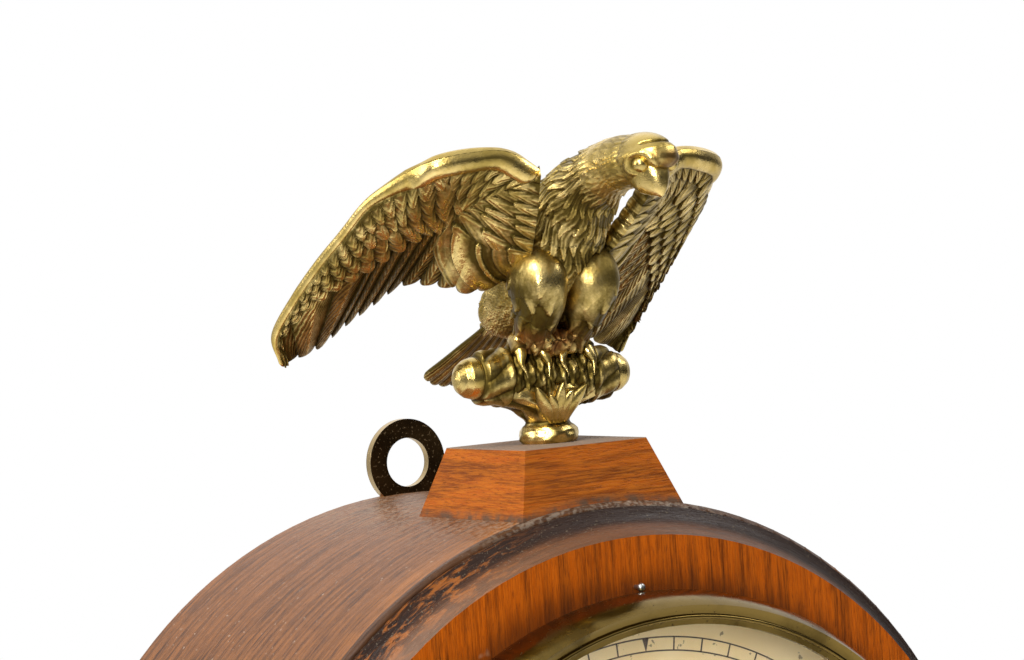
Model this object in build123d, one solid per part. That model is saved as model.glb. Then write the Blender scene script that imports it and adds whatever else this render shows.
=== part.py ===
from build123d import *
import math
import os

os.makedirs("parts", exist_ok=True)

# A banjo clock: a drum head with dial and bezel, a cast brass eagle on its plinth, a
# tapering throat, a lower box with a door, and a spring-driven pendulum movement.
# Millimetres. X is to the right seen from the front, Y goes back to the wall and Z is
# up. The origin is on the dial's axis, in the plane of the wall.

# Shared clearances
running_fit = 0.05
loose_fit = 0.3
overrun = 1.0

# Drum head of the case
head_radius = 100.0
head_depth = 82.2
drum_wall = 9.0
rim_round = 1.1
back_thickness = 6.0
cove_rise = 8.55
cove_land = 0.9
face_radius = 93.1
veneer_thickness = 0.8
board_radius = 88.0
board_thickness = 8.0
board_opening_radius = 70.0

# Dial
dial_radius = 78.3
dial_thickness = 1.1
dial_centre_hole_radius = 4.6
dial_foot_radius = 1.5
dial_foot_circle = 74.0
dial_foot_count = 4
dial_foot_start = 45.0
winding_hole_radius = 3.6

# Bezel and its glass
bezel_base_radius = 80.85
bezel_waist_radius = 81.4
bezel_shoulder_radius = 80.2
bezel_crest_radius = 78.9
bezel_lip_radius = 76.4
sight_radius = 74.8
bezel_height = 13.4
bezel_sheet = 1.1
bezel_seat_gap = 0.15
lip_drop = 1.1
glass_thickness = 1.8
retainer_width = 2.4
retainer_thickness = 0.8
hinge_knuckle_radius = 1.7
hinge_pin_radius = 0.8
hinge_leaf_thickness = 1.0
bezel_hinge_height = 18.0
bezel_hinge_offset = 2.5
keeper_head_radius = 0.95
keeper_shank_radius = 0.5
keeper_length = 9.0
keeper_stand = 2.0

# Plinth of the finial
plinth_top_half = 15.7
plinth_bottom_half = 20.8
plinth_top_height = 112.55
plinth_centre_depth = 60.2
stud_radius = 2.0
stud_length = 26.0
stud_clear_of_drum = 0.6

# Eagle finial: every table below holds shares of the eagle's height, as places (x, y, z)
# from the middle of the plinth's top, followed by half sizes
eagle_height = 66.0
body_shares = (
    (0.0, 0.258, 0.409, 0.061, 0.045),
    (0.0, 0.130, 0.450, 0.140, 0.125),
    (0.0, -0.020, 0.580, 0.155, 0.175),
    (0.0, -0.160, 0.725, 0.155, 0.165),
    (0.0, -0.318, 0.840, 0.121, 0.118),
    (0.0, -0.455, 0.892, 0.091, 0.086),
    (0.0, -0.561, 0.905, 0.083, 0.080),
    (0.0, -0.670, 0.892, 0.060, 0.062),
)
head_shares = (0.0, -0.640, 0.912)
head_half_shares = (0.092, 0.112, 0.082)
beak_shares = (
    (0.0, -0.700, 0.900, 0.042, 0.045),
    (0.0, -0.755, 0.868, 0.032, 0.036),
    (0.0, -0.785, 0.815, 0.017, 0.020),
    (0.0, -0.782, 0.775, 0.004, 0.005),
)
leg_shares = (
    ((0.108, -0.145, 0.530), (0.098, 0.118, 0.125)),
    ((0.075, -0.080, 0.360), (0.065, 0.080, 0.100)),
)
toe_shares = ((0.030, 0.0, 0.218), (0.085, 0.0, 0.218))
toe_reach_share = 0.100
toe_half_share = 0.016
wing_edge_shares = (
    (-0.070, -0.250, 0.800), (-0.135, -0.275, 0.870), (-0.235, -0.258, 0.925), (-0.345, -0.215, 0.932),
    (-0.455, -0.165, 0.917), (-0.550, -0.090, 0.868), (-0.622, 0.045, 0.785),
    (-0.672, 0.227, 0.652), (-0.702, 0.424, 0.492), (-0.690, 0.545, 0.364),
)
wing_tip_shares = (
    (-0.660, 0.576, 0.320), (-0.590, 0.550, 0.328), (-0.515, 0.490, 0.370), (-0.430, 0.364, 0.477),
    (-0.355, 0.273, 0.544), (-0.290, 0.170, 0.540), (-0.218, 0.061, 0.510), (-0.080, -0.020, 0.500),
)
flight_feathers = 13
wing_root_start_share = 0.82
wing_root_end_share = 0.0
wing_roll_start_share = 0.036
wing_roll_end_share = 0.016
wing_roll_shares = ((-0.6, 0.8), (0.4, 0.9))
wing_step_shares = ((0.14, 0.017), (0.34, 0.016), (0.36, 0.010), (0.60, 0.009), (0.62, 0.005), (0.96, 0.005))
feather_cut_shares = ((-0.49, 0.90), (0.0, 1.0), (0.49, 0.90))
feather_lap_share = 0.022
feather_width_share = 0.110
feather_thickness_share = 0.024
feather_outline_shares = (
    (0.0, -0.7), (0.8, -1.0), (0.95, -0.6), (1.0, 0.0), (0.95, 0.6), (0.8, 1.0), (0.0, 0.7),
)
tail_root_shares = (0.0, 0.200, 0.430)
tail_tip_shares = (0.0, 0.565, 0.195)
tail_feathers = 5
tail_spread_share = 0.110
tail_root_spread_share = 0.030
tail_lap_share = 0.1
perch_place_shares = (0.0, 0.0, 0.218)
perch_shares = (
    (-0.350, 0.0), (-0.335, 0.050), (-0.298, 0.073), (-0.255, 0.050), (-0.225, 0.078), (-0.190, 0.085),
    (0.0, 0.105),
    (0.190, 0.085), (0.225, 0.078), (0.255, 0.050), (0.298, 0.073), (0.335, 0.050), (0.350, 0.0),
)
stem_shares = ((0.098, 0.0), (0.098, 0.045), (0.082, 0.068), (0.076, 0.100), (0.090, 0.135), (0.150, 0.175))

# Hanging plate
eye_radius = 10.05
eye_hole_radius = 5.65
eye_height = 107.05
hanger_thickness = 2.0
hanger_shank_width = 14.0
hanger_shank_bottom = 62.0
hanger_screw_radius = 1.6
hanger_screw_head_radius = 3.0
hanger_screw_length = 5.0
hanger_screw_heights = (86.0, 68.0)

# Throat
throat_top_half = 31.0
throat_bottom_half = 47.0
throat_top = -88.0
throat_bottom = -335.0
throat_depth = 62.0
rail_width = 9.0
frame_thickness = 10.0
frame_border = 13.0
frame_overhang = 2.0
tablet_thickness = 2.0
tablet_rebate = 3.5
frame_top_clear = 16.0

# Lower box
box_half_width = 115.0
box_height = 175.0
box_depth = 78.0
box_wall = 10.0
end_board_overhang = 4.0
end_board_edge_radius = 3.5
door_thickness = 13.5
door_gap = 0.4
door_stile = 24.0
door_moulding = 6.0
door_knob_radius = 6.0
door_knob_length = 11.0
door_hinge_height = 30.0
door_hinge_share = 0.3
door_leaf_width = 9.0

# Side arms
arm_thickness = 4.0
arm_width = 11.0
arm_depth = 38.0
arm_start_angle = -48.0
arm_waist_half = 55.0
arm_waist_height = -185.0
arm_hip_half = 66.0
arm_hip_height = -275.0
arm_foot_radius = 7.5
arm_foot_thickness = 2.5
arm_head_radius = 8.0
arm_width_shares = (1.1, 0.9, 0.75, 0.9, 1.1)

# Movement plates
plate_half_width = 33.0
plate_top = 53.0
plate_bottom = -58.0
plate_thickness = 2.0
front_plate_y = -72.0
back_plate_y = -36.0
plate_corner_radius = 6.0
pillar_radius = 3.0
pillar_inset = 6.0
pillar_nut_radius = 4.5
pillar_nut_height = 3.0
foot_radius = 4.0

# Going train: teeth and modules
barrel_teeth = 84
centre_pinion_leaves = 10
barrel_module = 0.6
centre_teeth = 64
third_pinion_leaves = 8
centre_module = 0.55
third_teeth = 60
escape_pinion_leaves = 8
third_module = 0.5
escape_teeth = 30
escape_tip_radius = 12.4
escape_root_radius = 9.8
wheel_thickness = 1.2
great_wheel_thickness = 2.0
wheel_rim = 2.6
wheel_hub_radius = 3.4
wheel_spoke_width = 2.0
spoke_count = 4
arbor_radius = 1.0
pivot_radius = 0.6
third_arbor_angle = 130.0
tip_share = 0.11
root_share = 0.25
addendum_share = 0.85
dedendum_share = 1.15
barrel_drum_radius = 21.5
barrel_drum_length = 20.0
barrel_wall = 1.2
barrel_cap_thickness = 1.0
spring_strip = 0.8
spring_height_clear = 1.0
spring_turns = 4
winding_arbor_radius = 2.4
winding_square = 3.4
great_wheel_y = -44.0

# Ratchet and click
ratchet_teeth = 20
ratchet_radius = 8.0
ratchet_depth = 1.3
ratchet_thickness = 1.5
click_width = 3.2
click_pivot_radius = 1.2
click_boss_radius = 2.8
click_head_thickness = 0.6
click_gap = 0.25
click_clear = 2.2
click_pivot_angle = 215.0
click_tip_angle = 160.0
click_beak_angle = 158.0

# Motion work and hands
cannon_teeth = 12
minute_wheel_teeth = 36
minute_pinion_leaves = 10
hour_wheel_teeth = 40
cannon_module = 0.5
cannon_radius = 2.2
hour_pipe_radius = 3.6
motion_angle = -40.0
motion_stud_length = 12.4
minute_hand_length = 67.0
hour_hand_length = 47.0
hand_thickness = 0.6
hand_nut_radius = 3.2
minute_hand_angle = 120.0
hour_hand_angle = 250.0

# Escapement and pendulum
pallet_width = 2.4
pallet_clear = 0.7
pallet_reach_share = 0.707
crutch_width = 2.0
crutch_drop = 32.0
suspension_y = -20.0
suspension_strip = 0.25
suspension_width = 5.0
suspension_length = 12.0
suspension_clear = 0.5
cock_bridge = 2.0
cock_clear_of_arbor = 2.4
cock_half_width = 6.0
rod_radius = 1.5
rod_bottom = -463.0
bob_radius = 26.0
bob_thickness = 9.0
bob_edge = 1.6
bob_height = -424.0
rating_nut_radius = 5.5
rating_nut_height = 4.0

# Places that follow from the sizes above
rim_y = -head_depth
face_y = rim_y - cove_rise
dial_back_y = face_y + veneer_thickness
dial_front_y = dial_back_y - dial_thickness
board_back_y = dial_back_y + board_thickness
bezel_back_y = face_y - bezel_seat_gap
bezel_front_y = face_y - bezel_height
glass_front_y = bezel_front_y + lip_drop + bezel_sheet
box_top_z = throat_bottom
box_bottom_z = throat_bottom - box_height
barrel_distance = barrel_module * (barrel_teeth + centre_pinion_leaves) / 2
third_distance = centre_module * (centre_teeth + third_pinion_leaves) / 2
escape_distance = third_module * (third_teeth + escape_pinion_leaves) / 2
third_x = third_distance * math.cos(math.radians(third_arbor_angle))
third_z = third_distance * math.sin(math.radians(third_arbor_angle))
escape_z = third_z + math.sqrt(escape_distance ** 2 - third_x ** 2)
pallet_z = escape_z + escape_tip_radius / pallet_reach_share
barrel_z = -barrel_distance
motion_distance = cannon_module * (cannon_teeth + minute_wheel_teeth) / 2
hour_module = 2 * motion_distance / (minute_pinion_leaves + hour_wheel_teeth)
motion_x = motion_distance * math.cos(math.radians(motion_angle))
motion_z = motion_distance * math.sin(math.radians(motion_angle))


def front_plane(y, x=0.0, z=0.0):
    """a plane across the clock whose normal points to the front"""
    return Plane((x, y, z), x_dir=(1, 0, 0), z_dir=(0, -1, 0))


def slab(face, front, back, x=0.0, z=0.0):
    """a face drawn in X and Z, given thickness from the front plane to the back plane"""
    return front_plane(back, x, z) * extrude(face, back - front)


def disc(radius, front, back, x=0.0, z=0.0):
    """a round piece whose axis runs from front to back"""
    return slab(Circle(radius), front, back, x, z)


def ring(outer, inner, front, back, x=0.0, z=0.0):
    """a washer whose axis runs from front to back"""
    return slab(Circle(outer) - Circle(inner), front, back, x, z)


def outline(points):
    """a closed straight-sided face"""
    return make_face(Polyline(*points, close=True))


def polar(radius, degrees):
    """a place on a circle, counted anticlockwise from the right"""
    return (radius * math.cos(math.radians(degrees)), radius * math.sin(math.radians(degrees)))


def upright(radius, bottom, top, x, y):
    """a round piece whose axis is vertical"""
    return Pos(x, y, bottom) * Cylinder(radius, top - bottom, align=(Align.CENTER, Align.CENTER, Align.MIN))


def trapezoid(top_half, bottom_half, top, bottom):
    """the tapering outline of the throat"""
    return outline([(-top_half, top), (top_half, top), (bottom_half, bottom), (-bottom_half, bottom)])


def throat_half(z, top_half, bottom_half):
    """half the throat's width at a height"""
    share = (z - throat_top) / (throat_bottom - throat_top)
    return top_half + (bottom_half - top_half) * share


# Case

def case_back():
    """the one-piece back board: round in the head, tapering in the throat, square in the box"""
    inner_half = box_half_width - box_wall
    head = Circle(head_radius - drum_wall)
    neck = trapezoid(throat_top_half - rail_width, throat_bottom_half - rail_width, throat_top, throat_bottom)
    way_half = throat_bottom_half - rail_width
    bridge = outline([
        (-way_half, box_top_z), (way_half, box_top_z),
        (way_half, box_top_z - box_wall), (-way_half, box_top_z - box_wall),
    ])
    box = outline([
        (-inner_half, box_top_z - box_wall), (inner_half, box_top_z - box_wall),
        (inner_half, box_bottom_z + box_wall), (-inner_half, box_bottom_z + box_wall),
    ])
    board = slab(head + neck + bridge + box, -back_thickness, 0.0)
    return board - hanger_solid() - hanger_screws()


def pendulum_slot():
    """the way from the head down into the throat, through the drum's wall"""
    half = throat_half(-head_radius, throat_top_half - rail_width, throat_bottom_half - rail_width)
    low = -head_radius - overrun
    high = -head_radius + drum_wall + overrun
    return slab(outline([(-half, low), (half, low), (half, high), (-half, high)]), -throat_depth, overrun)


def head_case():
    """the bent-wood drum, open at the front and slotted at the bottom for the pendulum"""
    with BuildPart() as drum:
        with BuildSketch(front_plane(0.0)):
            Circle(head_radius)
            Circle(head_radius - drum_wall, mode=Mode.SUBTRACT)
        extrude(amount=head_depth)
        rim = drum.edges().filter_by(GeomType.CIRCLE).filter_by(lambda e: abs(e.radius - head_radius) < running_fit)
        fillet(rim.sort_by(Axis.Y)[0], rim_round)
    return drum.part - pendulum_slot() - case_back() - hanger_solid()


def cove_moulding():
    """the hollow moulding that rises from the drum's rim to the veneered face"""
    outer = head_radius - rim_round
    step_y = rim_y - cove_land
    front = dial_back_y
    with BuildSketch() as section:
        with BuildLine():
            hollow = (outer + face_radius) / 2 - cove_rise * 0.15
            middle = (step_y + face_y) / 2 + cove_rise * 0.06
            Polyline((face_radius, front), (board_radius, front), (board_radius, rim_y), (outer, rim_y), (outer, step_y))
            ThreePointArc((outer, step_y), (hollow, middle), (face_radius, face_y))
            Line((face_radius, face_y), (face_radius, front))
        make_face()
    return revolve(section.sketch, Axis.Y)


def front_board():
    """the ring of plain wood behind the veneer that carries the dial"""
    board = ring(board_radius, board_opening_radius, dial_back_y, board_back_y)
    for x, z in dial_foot_places():
        board -= disc(dial_foot_radius + running_fit, dial_back_y - overrun, board_back_y + overrun, x, z)
    keeper = disc(keeper_shank_radius, dial_back_y - overrun, dial_back_y + keeper_length, 0.0, keeper_z())
    return board - keeper


def face_veneer():
    """the veneered front ring, its grain upright"""
    veneer = ring(face_radius, dial_radius + loose_fit, face_y, dial_back_y)
    return veneer - disc(keeper_shank_radius, face_y - overrun, dial_back_y + overrun, 0.0, keeper_z())


def keeper_z():
    """height of the small steel pin above the bezel"""
    return bezel_waist_radius + keeper_head_radius + loose_fit / 3


def bezel_keeper_pin():
    """the small round-headed steel pin over the bezel at twelve"""
    neck_y = face_y - keeper_stand
    shank = disc(keeper_shank_radius, neck_y, dial_back_y + keeper_length - overrun, 0.0, keeper_z())
    head = front_plane(neck_y, 0.0, keeper_z()) * Sphere(keeper_head_radius)
    head &= disc(2 * keeper_head_radius, neck_y - 2 * keeper_head_radius, neck_y, 0.0, keeper_z())
    return shank + head


def plinth():
    """the tapered block, saddled over the drum, that carries the finial"""
    base = math.sqrt(head_radius ** 2 - plinth_bottom_half ** 2)
    low = base - overrun
    widen = (plinth_bottom_half - plinth_top_half) * overrun / (plinth_top_height - base)
    bottom = Plane((0, -plinth_centre_depth, low))
    top = Plane((0, -plinth_centre_depth, plinth_top_height))
    low_side = 2 * (plinth_bottom_half + widen)
    top_side = 2 * plinth_top_half
    block = loft([bottom * Rectangle(low_side, low_side), top * Rectangle(top_side, top_side)])
    block -= disc(head_radius, -head_depth - overrun, 0.0)
    return block - upright(stud_radius, low - overrun, plinth_top_height + overrun, 0.0, -plinth_centre_depth)


def finial_stud():
    """the threaded rod that holds the casting down on its plinth"""
    bottom = head_radius + stud_clear_of_drum
    return upright(stud_radius, bottom, bottom + stud_length, 0.0, -plinth_centre_depth)


# Eagle finial

def eagle_place(shares):
    """a place on the casting, from its shares of the eagle's height"""
    x, y, z = shares
    return Vector(x * eagle_height, y * eagle_height - plinth_centre_depth, z * eagle_height + plinth_top_height)


def grown(table):
    """a smooth form through oval cross-sections, each square to the way the form runs"""
    places = [eagle_place(row[:3]) for row in table]
    spine = Spline(*places)
    ovals = []
    for place, row in zip(places, table):
        along = spine.tangent_at(spine.param_at_point(place))
        across = Vector(1, 0, 0) - along * along.X
        oval = Ellipse(row[3] * eagle_height, row[4] * eagle_height)
        ovals.append(Plane(place, x_dir=across, z_dir=along) * oval)
    return loft(ovals)


def swelling(shares, halves):
    """an egg-shaped mass"""
    return Pos(eagle_place(shares)) * scale(Sphere(eagle_height), by=halves)


def feather(root, tip, width, thickness):
    """one flat tail feather with a rounded end, from its root to its tip"""
    run = tip - root
    along = run.normalized()
    side = (Vector(1, 0, 0) - along * along.X).normalized()
    blade = outline([(x * run.length, y * width / 2) for x, y in feather_outline_shares])
    place = Plane(root, x_dir=along, z_dir=along.cross(side))
    return place * extrude(blade, thickness / 2, both=True)


def wing_cut(leading, trailing, share, reach, lift):
    """a cut across the wing: rolled edge, two steps of coverts and a thin flight feather"""
    root_share = wing_root_start_share + (wing_root_end_share - wing_root_start_share) * share
    root = leading.position_at(root_share)
    run = trailing.position_at(share) - root
    along = run.normalized()
    up = along.cross(leading.tangent_at(root_share)).normalized()
    roll = eagle_height * (wing_roll_end_share + (wing_roll_start_share - wing_roll_end_share) * share)
    upper = [(x * roll, z * roll) for x, z in wing_roll_shares]
    upper += [(x * run.length * reach, z * eagle_height) for x, z in wing_step_shares]
    lower = [(x, -z) for x, z in reversed(upper)]
    place = Plane(root + up * lift, x_dir=along, z_dir=along.cross(up))
    return place * outline([(-roll, 0)] + upper + [(run.length * reach, 0)] + lower)


def wing():
    """the wing on the left, its flight feathers lapping like slates"""
    leading = Spline(*[eagle_place(row) for row in wing_edge_shares])
    trailing = Spline(*[eagle_place(row) for row in wing_tip_shares])
    cuts = []
    for k in range(flight_feathers):
        for side, reach in feather_cut_shares:
            share = (k + 0.5 + side) / flight_feathers
            cuts.append(wing_cut(leading, trailing, share, reach, side * feather_lap_share * eagle_height))
    return loft(cuts, ruled=True)


def tail():
    """the fan of tail feathers"""
    root = eagle_place(tail_root_shares)
    tip = eagle_place(tail_tip_shares)
    pieces = []
    for k in range(tail_feathers):
        share = 2 * k / (tail_feathers - 1) - 1
        start = root + Vector(share * tail_root_spread_share * eagle_height, 0, 0)
        end = tip + Vector(share * tail_spread_share * eagle_height, 0, 0)
        thickness = feather_thickness_share * eagle_height * (1 + tail_lap_share * (k % 2))
        pieces.append(feather(start, end, feather_width_share * eagle_height, thickness))
    return pieces


def perch():
    """the short round log under the claws, with its collars and ball ends"""
    points = [(x * eagle_height, r * eagle_height) for x, r in perch_shares]
    with BuildSketch() as shape:
        with BuildLine():
            Spline(*points)
            Line(points[-1], points[0])
        make_face()
    return Pos(eagle_place(perch_place_shares)) * revolve(shape.sketch, Axis.X)


def finial_foot():
    """the round foot and flaring stem"""
    points = [(r * eagle_height, z * eagle_height) for r, z in stem_shares]
    with BuildSketch() as shape:
        with BuildLine():
            Line((0, 0), points[0])
            Line(points[0], points[1])
            Spline(*points[1:])
            Polyline(points[-1], (0, points[-1][1]), (0, 0))
        make_face()
    turned = revolve(Plane.XZ * shape.sketch, Axis.Z)
    return Pos(0, -plinth_centre_depth, plinth_top_height) * turned


def eagle_finial():
    """the cast brass eagle, perched and stooping, with its foot"""
    left = wing()
    right = mirror(left, about=Plane.YZ)
    pieces = [left, right, finial_foot(), perch(), grown(beak_shares), swelling(head_shares, head_half_shares)]
    for side in (-1, 1):
        for (x, y, z), halves in leg_shares:
            pieces.append(swelling((side * x, y, z), halves))
        for x, y, z in toe_shares:
            toe = Torus(toe_reach_share * eagle_height, toe_half_share * eagle_height)
            pieces.append(Pos(eagle_place((side * x, y, z))) * Rot(0, 90, 0) * toe)
    casting = grown(body_shares).fuse(*pieces, *tail())
    hole_top = head_radius + stud_clear_of_drum + stud_length + loose_fit
    return casting - upright(stud_radius, plinth_top_height - overrun, hole_top, 0.0, -plinth_centre_depth)


def hanger_solid():
    """the flat steel plate with its round eye, let flush into the back"""
    eye = Pos(0, eye_height) * Circle(eye_radius)
    half = hanger_shank_width / 2
    shank = outline([
        (-half, eye_height), (half, eye_height), (half, hanger_shank_bottom + half / 2),
        (half / 2, hanger_shank_bottom), (-half / 2, hanger_shank_bottom), (-half, hanger_shank_bottom + half / 2),
    ])
    hole = Pos(0, eye_height) * Circle(eye_hole_radius)
    return slab(eye + shank - hole, -hanger_thickness, 0.0)


def hanger_plate():
    """the hanging plate with its screw holes"""
    plate = hanger_solid()
    for z in hanger_screw_heights:
        plate -= hanger_screw(z)
    return plate


def hanger_screw(z):
    """one countersunk screw, flush with the back of the hanging plate"""
    head = front_plane(0.0, 0.0, z) * Cone(
        hanger_screw_head_radius, hanger_screw_radius, hanger_thickness / 2,
        align=(Align.CENTER, Align.CENTER, Align.MIN))
    return head + disc(hanger_screw_radius, -hanger_screw_length, -hanger_thickness / 4, 0.0, z)


def hanger_screws():
    """the screws of the hanging plate"""
    upper, lower = hanger_screw_heights
    return hanger_screw(upper) + hanger_screw(lower)


# Throat and lower box

def throat_sides():
    """the two side rails of the throat, coped to the drum"""
    outer = trapezoid(throat_top_half, throat_bottom_half, throat_top, throat_bottom)
    inner = trapezoid(throat_top_half - rail_width, throat_bottom_half - rail_width, throat_top, throat_bottom)
    rails = slab(outer - inner, -throat_depth, 0.0)
    return rails - disc(head_radius, -throat_depth - overrun, overrun)


def throat_frame():
    """the frame on the front of the throat that holds its tablet"""
    outer = trapezoid(
        throat_top_half + frame_overhang, throat_bottom_half + frame_overhang, throat_top, throat_bottom)
    top = -head_radius - frame_top_clear
    bottom = throat_bottom + frame_border
    opening = tablet_outline(top, bottom, 0.0)
    front = -throat_depth - frame_thickness
    frame = slab(outer - opening, front, -throat_depth)
    frame -= disc(head_radius, front - overrun, -throat_depth + overrun)
    rebate = tablet_outline(top + tablet_rebate, bottom - tablet_rebate, tablet_rebate)
    return frame - slab(rebate, -throat_depth - tablet_rebate, -throat_depth + overrun)


def tablet_outline(top, bottom, grow):
    """the tapering light of the throat frame, with a rounded head"""
    inner_top = throat_half(top, throat_top_half, throat_bottom_half) - frame_border + grow
    inner_bottom = throat_half(bottom, throat_top_half, throat_bottom_half) - frame_border + grow
    return trapezoid(inner_top, inner_bottom, top, bottom)


def throat_tablet():
    """the glass tablet of the throat"""
    top = -head_radius - frame_top_clear + tablet_rebate - loose_fit
    bottom = throat_bottom + frame_border - tablet_rebate + loose_fit
    back = -throat_depth - tablet_rebate + tablet_thickness
    return slab(tablet_outline(top, bottom, tablet_rebate - loose_fit), back - tablet_thickness, back)


def box_sides():
    """the two side boards of the lower box"""
    inner = box_half_width - box_wall
    sides = Part()
    for side in (-1, 1):
        face = outline([
            (side * inner, box_top_z - box_wall), (side * box_half_width, box_top_z - box_wall),
            (side * box_half_width, box_bottom_z + box_wall), (side * inner, box_bottom_z + box_wall),
        ])
        sides += slab(face, -box_depth, 0.0)
    return sides


def end_board(low, high):
    """a moulded board that closes the lower box above or below the door"""
    half = box_half_width + end_board_overhang
    front = -box_depth - door_thickness - end_board_overhang
    face = outline([(-half, low), (half, low), (half, high), (-half, high)])
    board = slab(face, front, 0.0)
    edges = board.edges().filter_by(Axis.X).sort_by(Axis.Y)[:2]
    sides = board.edges().filter_by(Axis.Y)
    return fillet(list(edges) + list(sides), end_board_edge_radius)


def box_top():
    """the top board, notched at the back for the back board and open for the pendulum"""
    half = throat_bottom_half - rail_width
    low = box_top_z - box_wall - overrun
    high = box_top_z + overrun
    way = outline([(-half, low), (half, low), (half, high), (-half, high)])
    return end_board(box_top_z - box_wall, box_top_z) - slab(way, -throat_depth, 0.0)


def box_bottom():
    """the bottom board"""
    return end_board(box_bottom_z, box_bottom_z + box_wall)


def door_light(grow):
    """the opening of the door, widened by a rebate"""
    half = box_half_width - door_stile + grow
    top = box_top_z - box_wall - door_stile + grow
    bottom = box_bottom_z + box_wall + door_stile - grow
    return outline([(-half, bottom), (half, bottom), (half, top), (-half, top)])


def door_frame():
    """the mitred door frame with a moulded sight edge and a rebate for its tablet"""
    back = -box_depth - door_gap
    front = -box_depth - door_thickness
    half = box_half_width
    top = box_top_z - box_wall - door_gap
    bottom = box_bottom_z + box_wall + door_gap
    blank = slab(outline([(-half, bottom), (half, bottom), (half, top), (-half, top)]), front, back)
    frame = blank - slab(door_light(0.0), front - overrun, back + overrun)
    frame -= slab(door_light(tablet_rebate), back - tablet_rebate, back + overrun)
    width = 2 * (box_half_width - door_stile)
    height = box_height - 2 * box_wall - 2 * door_stile
    middle = (box_top_z + box_bottom_z) / 2
    near = front_plane(front, 0.0, middle) * Rectangle(width + 2 * door_moulding, height + 2 * door_moulding)
    far = front_plane(front + door_moulding, 0.0, middle) * Rectangle(width, height)
    frame -= loft([near, far])
    knob = disc(stud_radius, front - overrun, front + door_moulding, -half + door_stile / 2, middle)
    return frame - knob


def door_tablet():
    """the glass tablet of the door"""
    back = -box_depth - door_gap - tablet_rebate + tablet_thickness
    return slab(door_light(tablet_rebate - loose_fit), back - tablet_thickness, back)


def door_knob():
    """the small turned knob on the door's left stile"""
    front = -box_depth - door_thickness
    x = -box_half_width + door_stile / 2
    z = (box_top_z + box_bottom_z) / 2
    radius = door_knob_radius
    length = door_knob_length
    with BuildSketch() as section:
        with BuildLine():
            Polyline((0, door_moulding - loose_fit), (stud_radius, door_moulding - loose_fit), (stud_radius, 0), (radius * 0.75, 0), (radius * 0.75, -length * 0.12), (radius * 0.42, -length * 0.3))
            Spline((radius * 0.42, -length * 0.3), (radius, -length * 0.72), (radius * 0.55, -length * 0.97), (0, -length), tangents=((0, -1), (-1, 0)))
            Line((0, -length), (0, door_moulding - loose_fit))
        make_face()
    return Pos(x, front, z) * revolve(section.sketch, Axis.Y)


def door_hinge_x():
    """place of the door's hinge axis"""
    return box_half_width + hinge_leaf_thickness + loose_fit + hinge_knuckle_radius


def door_hinge_zs():
    """middles of the two door hinges"""
    middle = (box_top_z + box_bottom_z) / 2
    reach = box_height * door_hinge_share
    return (middle - reach, middle + reach)


def knuckle(x, y, low, high):
    """a hinge barrel bored for its pin"""
    barrel = upright(hinge_knuckle_radius, low, high, x, y)
    return barrel - upright(hinge_pin_radius + running_fit, low - overrun, high + overrun, x, y)


def hinge_thirds(middle, height):
    """lower, middle and upper barrels of a hinge, with a small gap between them"""
    low = middle - height / 2
    step = height / 3
    gap = loose_fit / 2
    return [(low, low + step - gap), (low + step + gap, low + 2 * step - gap), (low + 2 * step + gap, low + height)]


def door_hinge_leaf(middle, on_door):
    """one leaf of a door hinge with its barrels"""
    x = door_hinge_x()
    y = -box_depth - door_gap / 2
    thirds = hinge_thirds(middle, door_hinge_height)
    barrels = [thirds[1]] if on_door else [thirds[0], thirds[2]]
    direction = -1 if on_door else 1
    leaf = Part()
    for low, high in barrels:
        leaf += knuckle(x, y, low, high)
        web = Pos((box_half_width + x - hinge_knuckle_radius / 2) / 2, y + direction * hinge_knuckle_radius / 2, (low + high) / 2)
        leaf += web * Box(x - hinge_knuckle_radius / 2 - box_half_width, hinge_knuckle_radius, high - low)
    near = door_gap / 2
    plate_middle = y + direction * (near + door_leaf_width / 2)
    plate = Pos(box_half_width + hinge_leaf_thickness / 2, plate_middle, middle)
    leaf += plate * Box(hinge_leaf_thickness, door_leaf_width, door_hinge_height)
    return leaf - upright(hinge_pin_radius + running_fit, middle - door_hinge_height, middle + door_hinge_height, x, y)


def door_hinge_leaves():
    """the two leaves on the box"""
    low, high = door_hinge_zs()
    return door_hinge_leaf(low, False) + door_hinge_leaf(high, False)


def door_hinge_arms():
    """the two leaves on the door"""
    low, high = door_hinge_zs()
    return door_hinge_leaf(low, True) + door_hinge_leaf(high, True)


def door_hinge_pins():
    """the pins of the two door hinges"""
    pins = Part()
    for z in door_hinge_zs():
        half = door_hinge_height / 2 + hinge_leaf_thickness
        pins += upright(hinge_pin_radius, z - half, z + half, door_hinge_x(), -box_depth - door_gap / 2)
    return pins


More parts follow.
